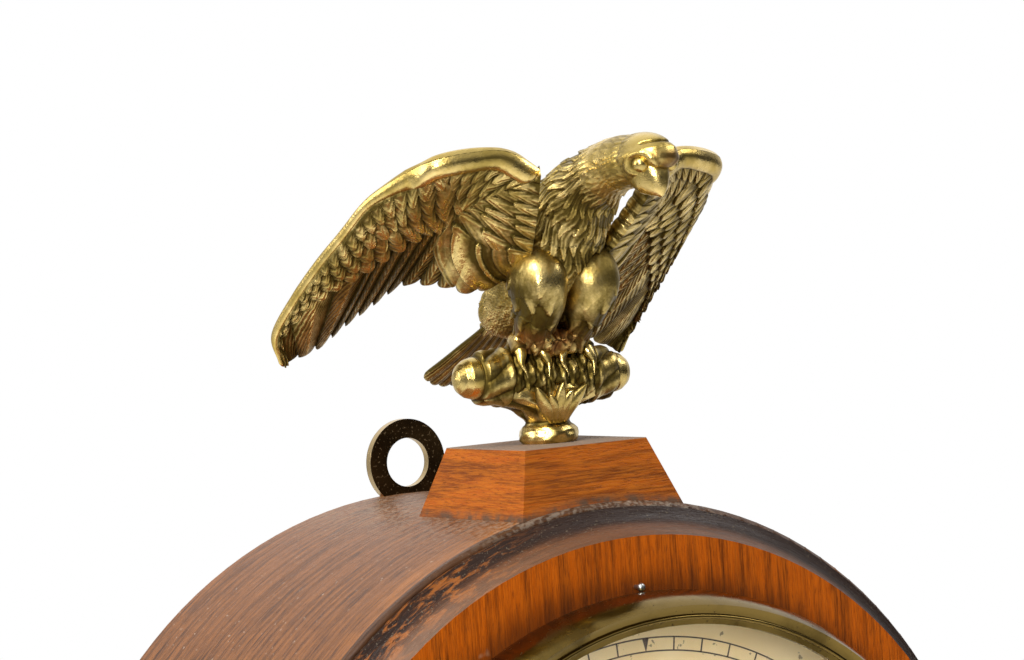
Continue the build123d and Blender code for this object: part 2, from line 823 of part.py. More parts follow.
def side_arms():
    """the two scrolled brass arms between the drum and the lower box"""
    half_width = arm_width / 2
    foot_x = box_half_width - arm_foot_radius
    foot_z = throat_bottom + arm_foot_radius + arm_foot_thickness
    start = polar(head_radius + arm_head_radius / 2, arm_start_angle)
    path = [start, (arm_waist_half, arm_waist_height), (arm_hip_half, arm_hip_height), (foot_x, foot_z)]
    arms = Part()
    front = -arm_depth - arm_thickness / 2
    back = -arm_depth + arm_thickness / 2
    for side in (-1, 1):
        line = Spline(*[(side * x, z) for x, z in path])
        left = []
        right = []
        last = len(arm_width_shares) - 1
        for k, share in enumerate(arm_width_shares):
            at = line.position_at(k / last)
            along = line.tangent_at(k / last)
            across = Vector(-along.Y, along.X) * half_width * share
            left.append(at + across)
            right.append(at - across)
        edges = [Spline(*left), Line(left[-1], right[-1]), Spline(*right[::-1]), Line(right[0], left[0])]
        shape = make_face(edges)
        shape += Pos(side * start[0], start[1]) * Circle(arm_head_radius)
        shape += Pos(side * foot_x, foot_z) * Circle(arm_foot_radius)
        shape += Pos(side * foot_x, throat_bottom + arm_foot_radius / 2) * Rectangle(arm_foot_radius, arm_foot_radius)
        arm = slab(shape, front, back)
        arms += arm - disc(head_radius, front - overrun, back + overrun)
    return arms


# Dial, bezel and hands

def dial_foot_places():
    """places of the dial's feet"""
    return [polar(dial_foot_circle, dial_foot_start + k * 360 / dial_foot_count) for k in range(dial_foot_count)]


def dial():
    """the flat metal dial with its centre and winding holes and the feet riveted behind it"""
    plate = disc(dial_radius, dial_front_y, dial_back_y)
    plate -= disc(dial_centre_hole_radius, dial_front_y - overrun, dial_back_y + overrun)
    plate -= disc(winding_hole_radius, dial_front_y - overrun, dial_back_y + overrun, 0.0, barrel_z)
    for x, z in dial_foot_places():
        plate += disc(dial_foot_radius, dial_back_y, board_back_y + overrun, x, z)
    return plate


def bezel():
    """the spun brass bezel: upright flank, round shoulder, hollowed face, bright lip and sight ring"""
    front = bezel_front_y
    shoulder_y = front + bezel_height * 0.16
    waist_y = front + bezel_height * 0.42
    lip_y = front + lip_drop * 0.25
    dip_y = front + lip_drop * 0.85
    sight_y = front + lip_drop
    inner_y = sight_y + bezel_sheet
    middle = (bezel_crest_radius + bezel_lip_radius) / 2
    with BuildSketch() as section:
        with BuildLine():
            Line((bezel_base_radius - bezel_sheet, bezel_back_y), (bezel_base_radius, bezel_back_y))
            Spline((bezel_base_radius, bezel_back_y), (bezel_waist_radius, waist_y), (bezel_shoulder_radius, shoulder_y), (bezel_crest_radius, front))
            ThreePointArc((bezel_crest_radius, front), (middle, dip_y - lip_drop * 0.2), (bezel_lip_radius + lip_drop * 0.4, dip_y))
            ThreePointArc((bezel_lip_radius + lip_drop * 0.4, dip_y), (bezel_lip_radius, lip_y), (bezel_lip_radius - lip_drop * 0.4, dip_y))
            Polyline((bezel_lip_radius - lip_drop * 0.4, dip_y), (sight_radius, sight_y), (sight_radius, inner_y), (bezel_shoulder_radius - 2 * bezel_sheet, inner_y))
            Spline((bezel_shoulder_radius - 2 * bezel_sheet, inner_y), (bezel_waist_radius - 1.6 * bezel_sheet, waist_y), (bezel_base_radius - bezel_sheet, bezel_back_y))
        make_face()
    return revolve(section.sketch, Axis.Y)


def bezel_glass():
    """the flat glass behind the sight ring"""
    return disc(bezel_shoulder_radius - 2 * bezel_sheet - loose_fit, glass_front_y, glass_front_y + glass_thickness)


def glass_retainer():
    """the thin brass ring that holds the glass in the bezel"""
    outer = bezel_shoulder_radius - 2 * bezel_sheet - loose_fit
    front = glass_front_y + glass_thickness
    return ring(outer, outer - retainer_width, front, front + retainer_thickness)


def bezel_hinge_x():
    """place of the bezel's hinge axis"""
    return bezel_waist_radius + bezel_hinge_offset


def bezel_hinge_y():
    """depth of the bezel's hinge axis"""
    return face_y - hinge_leaf_thickness - hinge_knuckle_radius / 2


def bezel_hinge_leaf():
    """the hinge leaf screwed to the veneered face"""
    x = bezel_hinge_x()
    y = bezel_hinge_y()
    thirds = hinge_thirds(0.0, bezel_hinge_height)
    leaf = knuckle(x, y, *thirds[0]) + knuckle(x, y, *thirds[2])
    reach = face_radius - loose_fit - x
    for low, high in (thirds[0], thirds[2]):
        web = Pos(x + hinge_knuckle_radius / 2, (y + face_y) / 2, (low + high) / 2)
        leaf += web * Box(hinge_knuckle_radius, face_y - y, high - low)
    plate = Pos(x + hinge_knuckle_radius / 2 + reach / 2, face_y - hinge_leaf_thickness / 2, 0.0)
    plate *= Box(reach - hinge_knuckle_radius / 2, hinge_leaf_thickness, bezel_hinge_height)
    slot = upright(hinge_knuckle_radius + loose_fit, thirds[1][0] - loose_fit / 2, thirds[1][1] + loose_fit / 2, x, y)
    leaf += plate - slot
    return leaf - upright(hinge_pin_radius + running_fit, -bezel_hinge_height, bezel_hinge_height, x, y)


def bezel_hinge_arm():
    """the hinge arm soldered to the bezel's flank"""
    x = bezel_hinge_x()
    y = bezel_hinge_y()
    low, high = hinge_thirds(0.0, bezel_hinge_height)[1]
    arm = knuckle(x, y, low, high)
    near = bezel_base_radius - bezel_sheet
    far = x - hinge_knuckle_radius / 2
    block = Pos((near + far) / 2, y - hinge_knuckle_radius / 4, (low + high) / 2)
    arm += block * Box(far - near, hinge_knuckle_radius * 1.4, high - low)
    arm -= bezel_blank()
    return arm - upright(hinge_pin_radius + running_fit, low - overrun, high + overrun, x, y)


def bezel_blank():
    """the bezel with its inside filled, for fitting the hinge arm"""
    return bezel() + disc(bezel_base_radius - bezel_sheet / 2, bezel_front_y + 2 * lip_drop, bezel_back_y)


def bezel_hinge_pin():
    """the pin of the bezel's hinge"""
    half = bezel_hinge_height / 2 + hinge_leaf_thickness
    return upright(hinge_pin_radius, -half, half, bezel_hinge_x(), bezel_hinge_y())


# Wheels

def toothed(teeth, module):
    """outline of a wheel or pinion with flat-flanked teeth, the first tooth to the right"""
    radius = teeth * module / 2
    tip = radius + addendum_share * module
    root = radius - dedendum_share * module
    pitch = 360 / teeth
    points = []
    for k in range(teeth):
        middle = k * pitch
        points.append(polar(root, middle - root_share * pitch))
        points.append(polar(tip, middle - tip_share * pitch))
        points.append(polar(tip, middle + tip_share * pitch))
        points.append(polar(root, middle + root_share * pitch))
    return outline(points)


def spoked(face, root, bore):
    """a wheel's face with its crossings cut out and its bore"""
    inner = root - wheel_rim
    window = Circle(inner) - Circle(wheel_hub_radius)
    for k in range(spoke_count // 2):
        window -= Rot(0, 0, k * 360 / spoke_count) * Rectangle(2 * root, wheel_spoke_width)
    return face - window - Circle(bore)


def wheel(teeth, module, front, thickness, bore, x, z, turn):
    """a crossed-out brass wheel at its place in the train"""
    root = teeth * module / 2 - dedendum_share * module
    face = spoked(toothed(teeth, module), root, bore)
    return slab(Rot(0, 0, turn) * face, front, front + thickness, x, z)


def pinion(leaves, module, front, back, x, z, turn):
    """a solid steel pinion"""
    return slab(Rot(0, 0, turn) * toothed(leaves, module), front, back, x, z)


def mesh_turn(angle, driver_turn, driver_teeth, teeth):
    """the turn that puts a gap of the second wheel over a tooth of the first"""
    first = (angle - driver_turn) / (360 / driver_teeth)
    phase = first - math.floor(first)
    pitch = 360 / teeth
    return angle + 180 + (0.5 + phase) * pitch


barrel_turn = 0.0
centre_pinion_turn = mesh_turn(90.0, barrel_turn, barrel_teeth, centre_pinion_leaves)
third_pinion_turn = mesh_turn(third_arbor_angle, 0.0, centre_teeth, third_pinion_leaves)
escape_angle = math.degrees(math.atan2(escape_z - third_z, -third_x))
escape_pinion_turn = mesh_turn(escape_angle, 0.0, third_teeth, escape_pinion_leaves)
minute_wheel_turn = mesh_turn(motion_angle, 0.0, cannon_teeth, minute_wheel_teeth)
hour_wheel_turn = mesh_turn(motion_angle + 180.0, 0.0, minute_pinion_leaves, hour_wheel_teeth)
train_front = front_plate_y + plate_thickness
centre_wheel_y = train_front + 2.0
third_wheel_y = train_front + 13.8
escape_wheel_y = train_front + 21.4


def barrel():
    """the going barrel: drum and great wheel in one"""
    drum_front = great_wheel_y - barrel_drum_length
    drum = ring(barrel_drum_radius, barrel_drum_radius - barrel_wall, drum_front, great_wheel_y, 0.0, barrel_z)
    bore = winding_arbor_radius + running_fit
    face = Rot(0, 0, barrel_turn) * toothed(barrel_teeth, barrel_module) - Circle(bore)
    return drum + slab(face, great_wheel_y, great_wheel_y + great_wheel_thickness, 0.0, barrel_z)


def barrel_cap():
    """the snapped-in cover of the barrel"""
    front = great_wheel_y - barrel_drum_length
    outer = barrel_drum_radius - barrel_wall
    return ring(outer, winding_arbor_radius + running_fit, front, front + barrel_cap_thickness, 0.0, barrel_z)


def mainspring():
    """the coiled mainspring, hooked inside the barrel"""
    front = great_wheel_y - barrel_drum_length + barrel_cap_thickness + spring_height_clear
    back = great_wheel_y - spring_height_clear
    start = winding_arbor_radius + 3 * spring_strip
    end = barrel_drum_radius - barrel_wall - spring_strip - loose_fit / 3
    steps = spring_turns * 14
    inner = []
    outer = []
    for k in range(steps + 1):
        radius = start + (end - start) * k / steps
        inner.append(polar(radius, k * 360 * spring_turns / steps))
        outer.append(polar(radius + spring_strip, k * 360 * spring_turns / steps))
    return slab(outline(inner + outer[::-1]), front, back, 0.0, barrel_z)


def winding_arbor():
    """the barrel arbor with its winding square, which shows in the dial"""
    body_front = front_plate_y - ratchet_thickness - 2 * loose_fit
    arbor = disc(winding_arbor_radius, body_front, back_plate_y + plate_thickness, 0.0, barrel_z)
    square = slab(Rectangle(winding_square, winding_square), dial_back_y, body_front, 0.0, barrel_z)
    return arbor + square


def ratchet_outline():
    """outline of the ratchet wheel, its steep faces looking one way"""
    points = []
    for k in range(ratchet_teeth):
        angle = k * 360 / ratchet_teeth
        points.append(polar(ratchet_radius, angle))
        points.append(polar(ratchet_radius - ratchet_depth, angle + 0.5))
    return outline(points)


def ratchet_wheel():
    """the ratchet wheel, on the square in front of the front plate"""
    back = front_plate_y - loose_fit
    face = ratchet_outline() - Circle(winding_arbor_radius)
    return slab(face, back - ratchet_thickness, back, 0.0, barrel_z)


def click_place():
    """pivot of the click"""
    reach = ratchet_radius + click_boss_radius + click_clear
    x, z = polar(reach, click_pivot_angle)
    return (x, z + barrel_z)


def click():
    """the click that holds the ratchet wheel"""
    x, z = click_place()
    back = front_plate_y - loose_fit
    front = back - ratchet_thickness
    tip_x, tip_z = polar(ratchet_radius + click_gap, click_tip_angle)
    tip_z += barrel_z
    beak_x, beak_z = polar(ratchet_radius + click_gap + click_width, click_beak_angle)
    beak_z += barrel_z
    lever = outline([
        (tip_x, tip_z), (beak_x, beak_z),
        (x - click_boss_radius * 0.8, z), (x + click_boss_radius * 0.25, z),
    ])
    body = slab(lever, front, back) + disc(click_boss_radius, front, back, x, z)
    body -= disc(ratchet_radius + click_gap, front - overrun, back + overrun, 0.0, barrel_z)
    return body - disc(click_pivot_radius + running_fit, front - overrun, back + overrun, x, z)


def click_stud():
    """the headed stud on which the click turns"""
    x, z = click_place()
    head_back = front_plate_y - 2 * loose_fit - ratchet_thickness
    stud = disc(click_pivot_radius, head_back, front_plate_y + overrun, x, z)
    return stud + disc(click_boss_radius, head_back - click_head_thickness, head_back, x, z)


def click_spring():
    """the bent strip that presses the click"""
    x, z = click_place()
    back = front_plate_y
    front = back - ratchet_thickness
    strip = spring_strip / 2
    start_x = x - click_boss_radius - 2 * loose_fit
    points = [
        (start_x - strip, z - 3 * click_boss_radius), (start_x, z - 3 * click_boss_radius),
        (start_x - strip, z + click_boss_radius), (start_x - 2 * strip, z + click_boss_radius),
    ]
    foot = outline([
        (start_x - strip, z - 3 * click_boss_radius), (start_x + click_width, z - 3 * click_boss_radius),
        (start_x + click_width, z - 2.2 * click_boss_radius), (start_x - strip / 2, z - 2.2 * click_boss_radius),
    ])
    return slab(outline(points), front, back) + slab(foot, front, back)


def arbor(x, z, front, back, pinion_solid):
    """a steel arbor with thinner pivots in the two plates"""
    inner_front = train_front + loose_fit
    inner_back = back_plate_y - loose_fit
    body = disc(arbor_radius, inner_front, inner_back, x, z)
    return body + disc(pivot_radius, front, back, x, z) + pinion_solid


def centre_arbor():
    """the centre arbor, long enough to carry the cannon pinion and minute hand"""
    leaves = pinion(centre_pinion_leaves, barrel_module, great_wheel_y - 2.0, great_wheel_y + 4.0, 0.0, 0.0, centre_pinion_turn)
    body = disc(arbor_radius, hand_front_y() - 2.0, back_plate_y - loose_fit)
    return body + disc(pivot_radius, back_plate_y - overrun, back_plate_y + plate_thickness) + leaves


def centre_wheel():
    """the centre wheel"""
    return wheel(centre_teeth, centre_module, centre_wheel_y, wheel_thickness, arbor_radius, 0.0, 0.0, 0.0)


def third_arbor():
    """the third arbor and its pinion"""
    leaves = pinion(third_pinion_leaves, centre_module, centre_wheel_y - 1.2, centre_wheel_y + 3.6, third_x, third_z, third_pinion_turn)
    return arbor(third_x, third_z, front_plate_y, back_plate_y + plate_thickness, leaves)


def third_wheel():
    """the third wheel"""
    return wheel(third_teeth, third_module, third_wheel_y, wheel_thickness, arbor_radius, third_x, third_z, 0.0)


def escape_arbor():
    """the escape arbor and its pinion"""
    leaves = pinion(escape_pinion_leaves, third_module, third_wheel_y - 2.4, third_wheel_y + 3.6, 0.0, escape_z, escape_pinion_turn)
    return arbor(0.0, escape_z, front_plate_y, back_plate_y + plate_thickness, leaves)


def escape_wheel():
    """the escape wheel with its raked pointed teeth"""
    pitch = 360 / escape_teeth
    points = []
    for k in range(escape_teeth):
        angle = k * pitch
        points.append(polar(escape_root_radius, angle - pitch * 0.28))
        points.append(polar(escape_tip_radius, angle))
        points.append(polar(escape_tip_radius, angle + pitch * 0.06))
        points.append(polar(escape_root_radius, angle + pitch * 0.2))
    face = spoked(outline(points), escape_root_radius, arbor_radius)
    return slab(face, escape_wheel_y, escape_wheel_y + wheel_thickness, 0.0, escape_z)


def pallets():
    """the steel anchor with its two pallets"""
    reach = pallet_z - escape_z
    span = escape_tip_radius * pallet_reach_share
    front = escape_wheel_y - (pallet_width - wheel_thickness) / 2
    back = front + pallet_width
    low = reach - span
    shape = Circle(2.6 * arbor_radius)
    for side in (-1, 1):
        arm = outline([
            (side * 0.6, 1.8), (side * (span + 1.6), -low * 0.55), (side * (span + 1.2), -low + 1.1),
            (side * (span + 0.1), -low + 1.9), (side * (span - 1.6), -low * 0.5), (side * 0.6, -1.6),
        ])
        shape += arm
    anchor = slab(shape - Circle(arbor_radius), front, back, 0.0, pallet_z)
    return anchor - disc(escape_tip_radius + pallet_clear, front - overrun, back + overrun, 0.0, escape_z)


def pallet_arbor():
    """the pallet arbor with its crutch behind the back plate"""
    crutch_back = suspension_y - suspension_width / 2 - 1.5
    body = disc(arbor_radius, train_front + loose_fit, crutch_back, 0.0, pallet_z)
    body += disc(pivot_radius, front_plate_y, train_front + overrun, 0.0, pallet_z)
    half = crutch_width / 2
    low = pallet_z - crutch_drop
    gap = rod_radius + loose_fit
    body += slab(outline([(-half, low), (half, low), (half, pallet_z), (-half, pallet_z)]), crutch_back - 1.2, crutch_back)
    fork_back = suspension_y + rod_radius + 2 * loose_fit
    prong = 1.2
    foot = outline([
        (-gap - prong, low), (gap + prong, low), (gap + prong, low + crutch_width), (-gap - prong, low + crutch_width)])
    body += slab(foot, crutch_back - 1.2, crutch_back)
    for side in (-1, 1):
        near = side * gap
        far = side * (gap + prong)
        face = outline([(near, low), (far, low), (far, low + crutch_width), (near, low + crutch_width)])
        body += slab(face, crutch_back - overrun, fork_back)
    return body


def pillar_places():
    """corners where the pillars and feet stand"""
    x = plate_half_width - pillar_inset
    return [(sx * x, z) for z in (plate_bottom + pillar_inset, plate_top - pillar_inset) for sx in (-1, 1)]


def movement_plate(front, holes):
    """one brass plate, rounded at its corners, with its pivot holes"""
    middle = (plate_top + plate_bottom) / 2
    face = Pos(0, middle) * RectangleRounded(2 * plate_half_width, plate_top - plate_bottom, plate_corner_radius)
    for x, z, radius in holes:
        face -= Pos(x, z) * Circle(radius + running_fit)
    for x, z in pillar_places():
        face -= Pos(x, z) * Circle(pillar_radius / 2)
    return slab(face, front, front + plate_thickness)


def movement_front_plate():
    """the front plate, with the studs of the minute wheel and the click"""
    holes = [
        (0.0, 0.0, arbor_radius), (third_x, third_z, pivot_radius), (0.0, escape_z, pivot_radius),
        (0.0, pallet_z, pivot_radius), (0.0, barrel_z, winding_arbor_radius),
    ]
    plate = movement_plate(front_plate_y, holes) + click_stud()
    return plate + disc(arbor_radius, front_plate_y - motion_stud_length, front_plate_y + overrun, motion_x, motion_z)


def movement_back_plate():
    """the back plate"""
    holes = [
        (0.0, 0.0, pivot_radius), (third_x, third_z, pivot_radius), (0.0, escape_z, pivot_radius),
        (0.0, pallet_z, arbor_radius + loose_fit), (0.0, barrel_z, winding_arbor_radius),
    ]
    return movement_plate(back_plate_y, holes)


def movement_pillars():
    """the four turned pillars with their front nuts and the posts that stand on the back board"""
    pillars = Part()
    for x, z in pillar_places():
        pillars += disc(pillar_radius, train_front, back_plate_y, x, z)
        pillars += disc(pillar_radius / 2, front_plate_y - overrun, back_plate_y + plate_thickness + overrun, x, z)
        pillars += disc(pillar_nut_radius, front_plate_y - pillar_nut_height, front_plate_y, x, z)
        pillars += disc(foot_radius, back_plate_y + plate_thickness, -back_thickness, x, z)
    return pillars


def hand_front_y():
    """front of the minute hand's boss"""
    return dial_front_y - 5.6


def cannon_pinion():
    """the cannon pinion, a friction fit on the centre arbor"""
    back = front_plate_y - loose_fit
    leaves = pinion(cannon_teeth, cannon_module, back - 4.5, back - 0.5, 0.0, 0.0, 0.0)
    pipe = disc(cannon_radius, hand_front_y() + hand_thickness, back)
    return leaves + pipe - disc(arbor_radius + running_fit, hand_front_y() - overrun, back + overrun)


def minute_wheel():
    """the minute wheel and its pinion, on a stud"""
    front = front_plate_y - 4.0
    bore = arbor_radius + running_fit
    body = wheel(minute_wheel_teeth, cannon_module, front, wheel_thickness, bore, motion_x, motion_z, minute_wheel_turn)
    leaves = pinion(minute_pinion_leaves, hour_module, front - 6.0, front, motion_x, motion_z, 0.0)
    return body + leaves - disc(bore, front - 7.0, front + 3.0, motion_x, motion_z)


def hour_wheel():
    """the hour wheel and its pipe"""
    front = front_plate_y - 8.4
    face = toothed(hour_wheel_teeth, hour_module)
    body = slab(Rot(0, 0, hour_wheel_turn) * face, front, front + wheel_thickness)
    pipe_front = dial_front_y - 2.2
    body += disc(hour_pipe_radius, pipe_front, front)
    return body - disc(cannon_radius + running_fit, pipe_front - overrun, front + wheel_thickness + overrun)


def hand_outline(length, width, tail):
    """a spade-shaped blade drawn upwards from the boss"""
    blade = [
        (-width * 0.28, 0), (-width * 0.22, length * 0.58), (-width, length * 0.66), (-width * 0.9, length * 0.74),
        (-width * 0.2, length * 0.83), (0, length), (width * 0.2, length * 0.83), (width * 0.9, length * 0.74),
        (width, length * 0.66), (width * 0.22, length * 0.58), (width * 0.28, 0), (width * 0.3, -tail), (-width * 0.3, -tail),
    ]
    return outline(blade)


def hour_hand():
    """the hour hand on the hour pipe"""
    back = dial_front_y - 1.6 + hand_thickness
    turn = Rot(0, 0, -hour_hand_angle)
    face = turn * hand_outline(hour_hand_length, 4.6, 0.0) + Circle(hour_pipe_radius + 2.0)
    return slab(face - Circle(hour_pipe_radius), back - hand_thickness, back)


def minute_hand():
    """the minute hand on the cannon pinion"""
    front = hand_front_y()
    turn = Rot(0, 0, -minute_hand_angle)
    face = turn * hand_outline(minute_hand_length, 3.4, 0.0) + Circle(cannon_radius + 1.8)
    return slab(face - Circle(arbor_radius + running_fit), front, front + hand_thickness)


def hand_nut():
    """the domed nut in front of the minute hand"""
    back = hand_front_y()
    nut = front_plane(back) * Sphere(hand_nut_radius)
    nut &= disc(2 * hand_nut_radius, back - 2.2, back)
    return nut - disc(arbor_radius + running_fit, back - 2.2, back + overrun)


# Pendulum

def suspension_cock():
    """the bracket on the back plate that clamps the suspension spring"""
    bottom = pallet_z + cock_clear_of_arbor
    top = plate_top
    half = cock_half_width
    back = suspension_y + suspension_width / 2
    block = slab(outline([(-half, bottom), (half, bottom), (half, top), (-half, top)]), back_plate_y + plate_thickness, back)
    slot = suspension_clear + suspension_strip / 2
    slot_top = top - cock_bridge
    gap = outline([(-slot, bottom - overrun), (slot, bottom - overrun), (slot, slot_top), (-slot, slot_top)])
    return block - slab(gap, suspension_y - suspension_width / 2 - loose_fit, back + overrun)


def suspension_spring():
    """the thin strip on which the pendulum swings, with its lower brass chops"""
    top = plate_top - cock_bridge - loose_fit
    bottom = pallet_z - suspension_length
    half = suspension_strip / 2
    front = suspension_y - suspension_width / 2
    strip = slab(outline([(-half, bottom), (half, bottom), (half, top), (-half, top)]), front, front + suspension_width)
    chop = Pos(0, suspension_y, bottom) * Box(3.2, suspension_width, 3.6)
    return strip + chop


def pendulum_rod():
    """the long rod, from its hook to the thread below the bob"""
    top = pallet_z - suspension_length - 1.8
    return upright(rod_radius, rod_bottom, top, 0.0, suspension_y)


def pendulum_bob():
    """the round bob, domed in front and behind"""
    half = bob_thickness / 2
    edge = bob_edge / 2
    with BuildSketch() as section:
        with BuildLine():
            Line((0, -half), (0, half))
            ThreePointArc((0, half), (bob_radius * 0.6, half - (half - edge) * 0.36), (bob_radius, edge))
            Line((bob_radius, edge), (bob_radius, -edge))
            ThreePointArc((bob_radius, -edge), (bob_radius * 0.6, -half + (half - edge) * 0.36), (0, -half))
        make_face()
    bob = Pos(0, suspension_y, bob_height) * revolve(section.sketch, Axis.Y)
    return bob - upright(rod_radius, bob_height - 2 * bob_radius, bob_height + 2 * bob_radius, 0.0, suspension_y)


def rating_nut():
    """the milled nut under the bob that sets the rate"""
    top = bob_height - bob_radius
    nut = upright(rating_nut_radius, top - rating_nut_height, top - loose_fit / 3, 0.0, suspension_y)
    return nut - upright(rod_radius + running_fit, top - 2 * rating_nut_height, top + overrun, 0.0, suspension_y)


nodes = {
    "case_back": case_back,
    "head_case": head_case,
    "cove_moulding": cove_moulding,
    "front_board": front_board,
    "face_veneer": face_veneer,
    "bezel_keeper_pin": bezel_keeper_pin,
    "finial_plinth": plinth,
    "finial_stud": finial_stud,
    "eagle_finial": eagle_finial,
    "hanger_plate": hanger_plate,
    "hanger_screws": hanger_screws,
    "throat_sides": throat_sides,
    "throat_frame": throat_frame,
    "throat_tablet": throat_tablet,
    "side_arms": side_arms,
    "box_sides": box_sides,
    "box_top": box_top,
    "box_bottom": box_bottom,
    "door_frame": door_frame,
    "door_tablet": door_tablet,
    "door_knob": door_knob,
    "door_hinge_leaves": door_hinge_leaves,
    "door_hinge_arms": door_hinge_arms,
    "door_hinge_pins": door_hinge_pins,
    "dial": dial,
    "bezel": bezel,
    "bezel_glass": bezel_glass,
    "glass_retainer": glass_retainer,
    "bezel_hinge_leaf": bezel_hinge_leaf,
    "bezel_hinge_arm": bezel_hinge_arm,
    "bezel_hinge_pin": bezel_hinge_pin,
    "barrel": barrel,
    "barrel_cap": barrel_cap,
    "mainspring": mainspring,
    "winding_arbor": winding_arbor,
    "ratchet_wheel": ratchet_wheel,
    "click": click,
    "click_spring": click_spring,
    "centre_arbor": centre_arbor,
    "centre_wheel": centre_wheel,
    "third_arbor": third_arbor,
    "third_wheel": third_wheel,
    "escape_arbor": escape_arbor,
    "escape_wheel": escape_wheel,
    "pallets": pallets,
    "pallet_arbor": pallet_arbor,
    "movement_front_plate": movement_front_plate,
    "movement_back_plate": movement_back_plate,
    "movement_pillars": movement_pillars,
    "cannon_pinion": cannon_pinion,
    "minute_wheel": minute_wheel,
    "hour_wheel": hour_wheel,
    "hour_hand": hour_hand,
    "minute_hand": minute_hand,
    "hand_nut": hand_nut,
    "suspension_cock": suspension_cock,
    "suspension_spring": suspension_spring,
    "pendulum_rod": pendulum_rod,
    "pendulum_bob": pendulum_bob,
    "rating_nut": rating_nut,
}

for name, make in nodes.items():
    export_step(make(), "parts/" + name + ".step")
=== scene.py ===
"""Looks of a banjo clock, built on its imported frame. Metres; X right, Y back to the wall, Z up."""

import math
from functools import partial, partialmethod

import bmesh
import bpy
import numpy as np
from mathutils import Matrix, Vector
from numpy import clip, cos, pi, sin, where


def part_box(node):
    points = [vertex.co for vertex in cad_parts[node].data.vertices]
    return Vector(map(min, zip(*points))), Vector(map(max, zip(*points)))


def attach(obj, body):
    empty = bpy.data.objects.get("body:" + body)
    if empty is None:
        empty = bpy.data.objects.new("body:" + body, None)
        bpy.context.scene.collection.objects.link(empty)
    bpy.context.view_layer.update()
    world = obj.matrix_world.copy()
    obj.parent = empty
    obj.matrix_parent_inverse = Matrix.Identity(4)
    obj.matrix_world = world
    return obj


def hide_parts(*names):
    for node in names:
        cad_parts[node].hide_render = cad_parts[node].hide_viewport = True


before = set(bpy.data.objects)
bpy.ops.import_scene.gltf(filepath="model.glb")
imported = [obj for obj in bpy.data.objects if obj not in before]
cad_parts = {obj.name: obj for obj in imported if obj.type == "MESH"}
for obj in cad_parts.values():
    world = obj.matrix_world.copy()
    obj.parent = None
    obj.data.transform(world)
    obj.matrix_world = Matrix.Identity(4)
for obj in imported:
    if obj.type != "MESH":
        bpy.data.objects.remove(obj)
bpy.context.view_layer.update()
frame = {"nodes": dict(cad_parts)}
MM = 0.001
WHITE = (1.0, 1.0, 1.0, 1.0)

# The dial's printing, in millimetres and degrees; widths of lines are half widths
TRACK = (68.58, 71.45)
DIAL_TURN, MINUTE_TURN, HOUR_TURN = 0.9, 6, 30
RING_LINE, MINUTE_LINE = 0.16, 0.2
POINTER_LINES = (0.05, 0.85)
NUMERAL_BAND = (51, 64.5)
NUMERALS = ("I", "II", "III", "IIII", "V", "VI", "VII", "VIII", "IX", "X", "XI", "XII")
LETTER_WIDTHS = {"I": 3.2, "V": 7.4, "X": 7.4}
LETTER_SPAN = (0.18, 0.82)
PLAIN_LINE, THICK_LINE, THIN_LINE = 0.8, 0.75, 0.3
SERIF_LINE, SERIF_REACH = 0.15, 1.3
PRINT_LIFT = 0.02


# Node materials

class Value:
    """a number, colour or place that varies over a surface; sums with it add maths nodes"""

    def __init__(self, socket):
        self.socket = socket
        self.tree = socket.id_data

    def node(self, kind, inputs, output=0, **settings):
        """any other shader node, fed with values or plain numbers"""
        made = self.tree.nodes.new("ShaderNode" + kind)
        for name, setting in settings.items():
            setattr(made, name, setting)
        for slot, given in inputs.items():
            if isinstance(given, Value):
                self.tree.links.new(given.socket, made.inputs[slot])
            else:
                made.inputs[slot].default_value = given
        return Value(made.outputs[output])

    def maths(self, operation, *others):
        """a sum with this value and others"""
        return self.node("Math", dict(enumerate((self,) + others)), operation=operation)

    def __rsub__(self, other):
        return self.node("Math", {0: other, 1: self}, operation="SUBTRACT")

    __add__ = __radd__ = partialmethod(maths, "ADD")
    __sub__ = partialmethod(maths, "SUBTRACT")
    __mul__ = __rmul__ = partialmethod(maths, "MULTIPLY")
    __truediv__ = partialmethod(maths, "DIVIDE")
    __abs__ = partialmethod(maths, "ABSOLUTE")

    def between(self, low, high):
        """0 below low, 1 above high, smooth in between"""
        return self.node("MapRange", {0: self, 1: low, 2: high}, interpolation_type="SMOOTHSTEP")

    def band(self, limits):
        """1 between the two inner limits, 0 beyond the two outer ones"""
        return self.between(*limits[:2]) * (1.0 - self.between(*limits[2:]))

    def part(self, output):
        """x, y or z of a place"""
        return self.node("SeparateXYZ", {0: self}, output=output)

    def stretched(self, x, y, z):
        """the place with its three directions scaled"""
        return self.node("VectorMath", {0: self, 1: (x, y, z)}, operation="MULTIPLY")

    def noise(self, scale, detail=3.0, roughness=0.5, distortion=0.0):
        """a soft random pattern, from about 0.3 to 0.7"""
        inputs = {"Vector": self, "Scale": scale, "Detail": detail, "Roughness": roughness,
                  "Distortion": distortion}
        return self.node("TexNoise", inputs)

    def blend(self, low, high):
        """a colour between two others, each either varying or a linear red, green and blue"""
        low, high = (given if isinstance(given, Value) else (*given, 1.0) for given in (low, high))
        return self.node("Mix", {0: self, 6: low, 7: high}, output=2, data_type="RGBA")


def place_from(x, y, z):
    """three numbers joined into a place"""
    return x.node("CombineXYZ", {0: x, 1: y, 2: z})


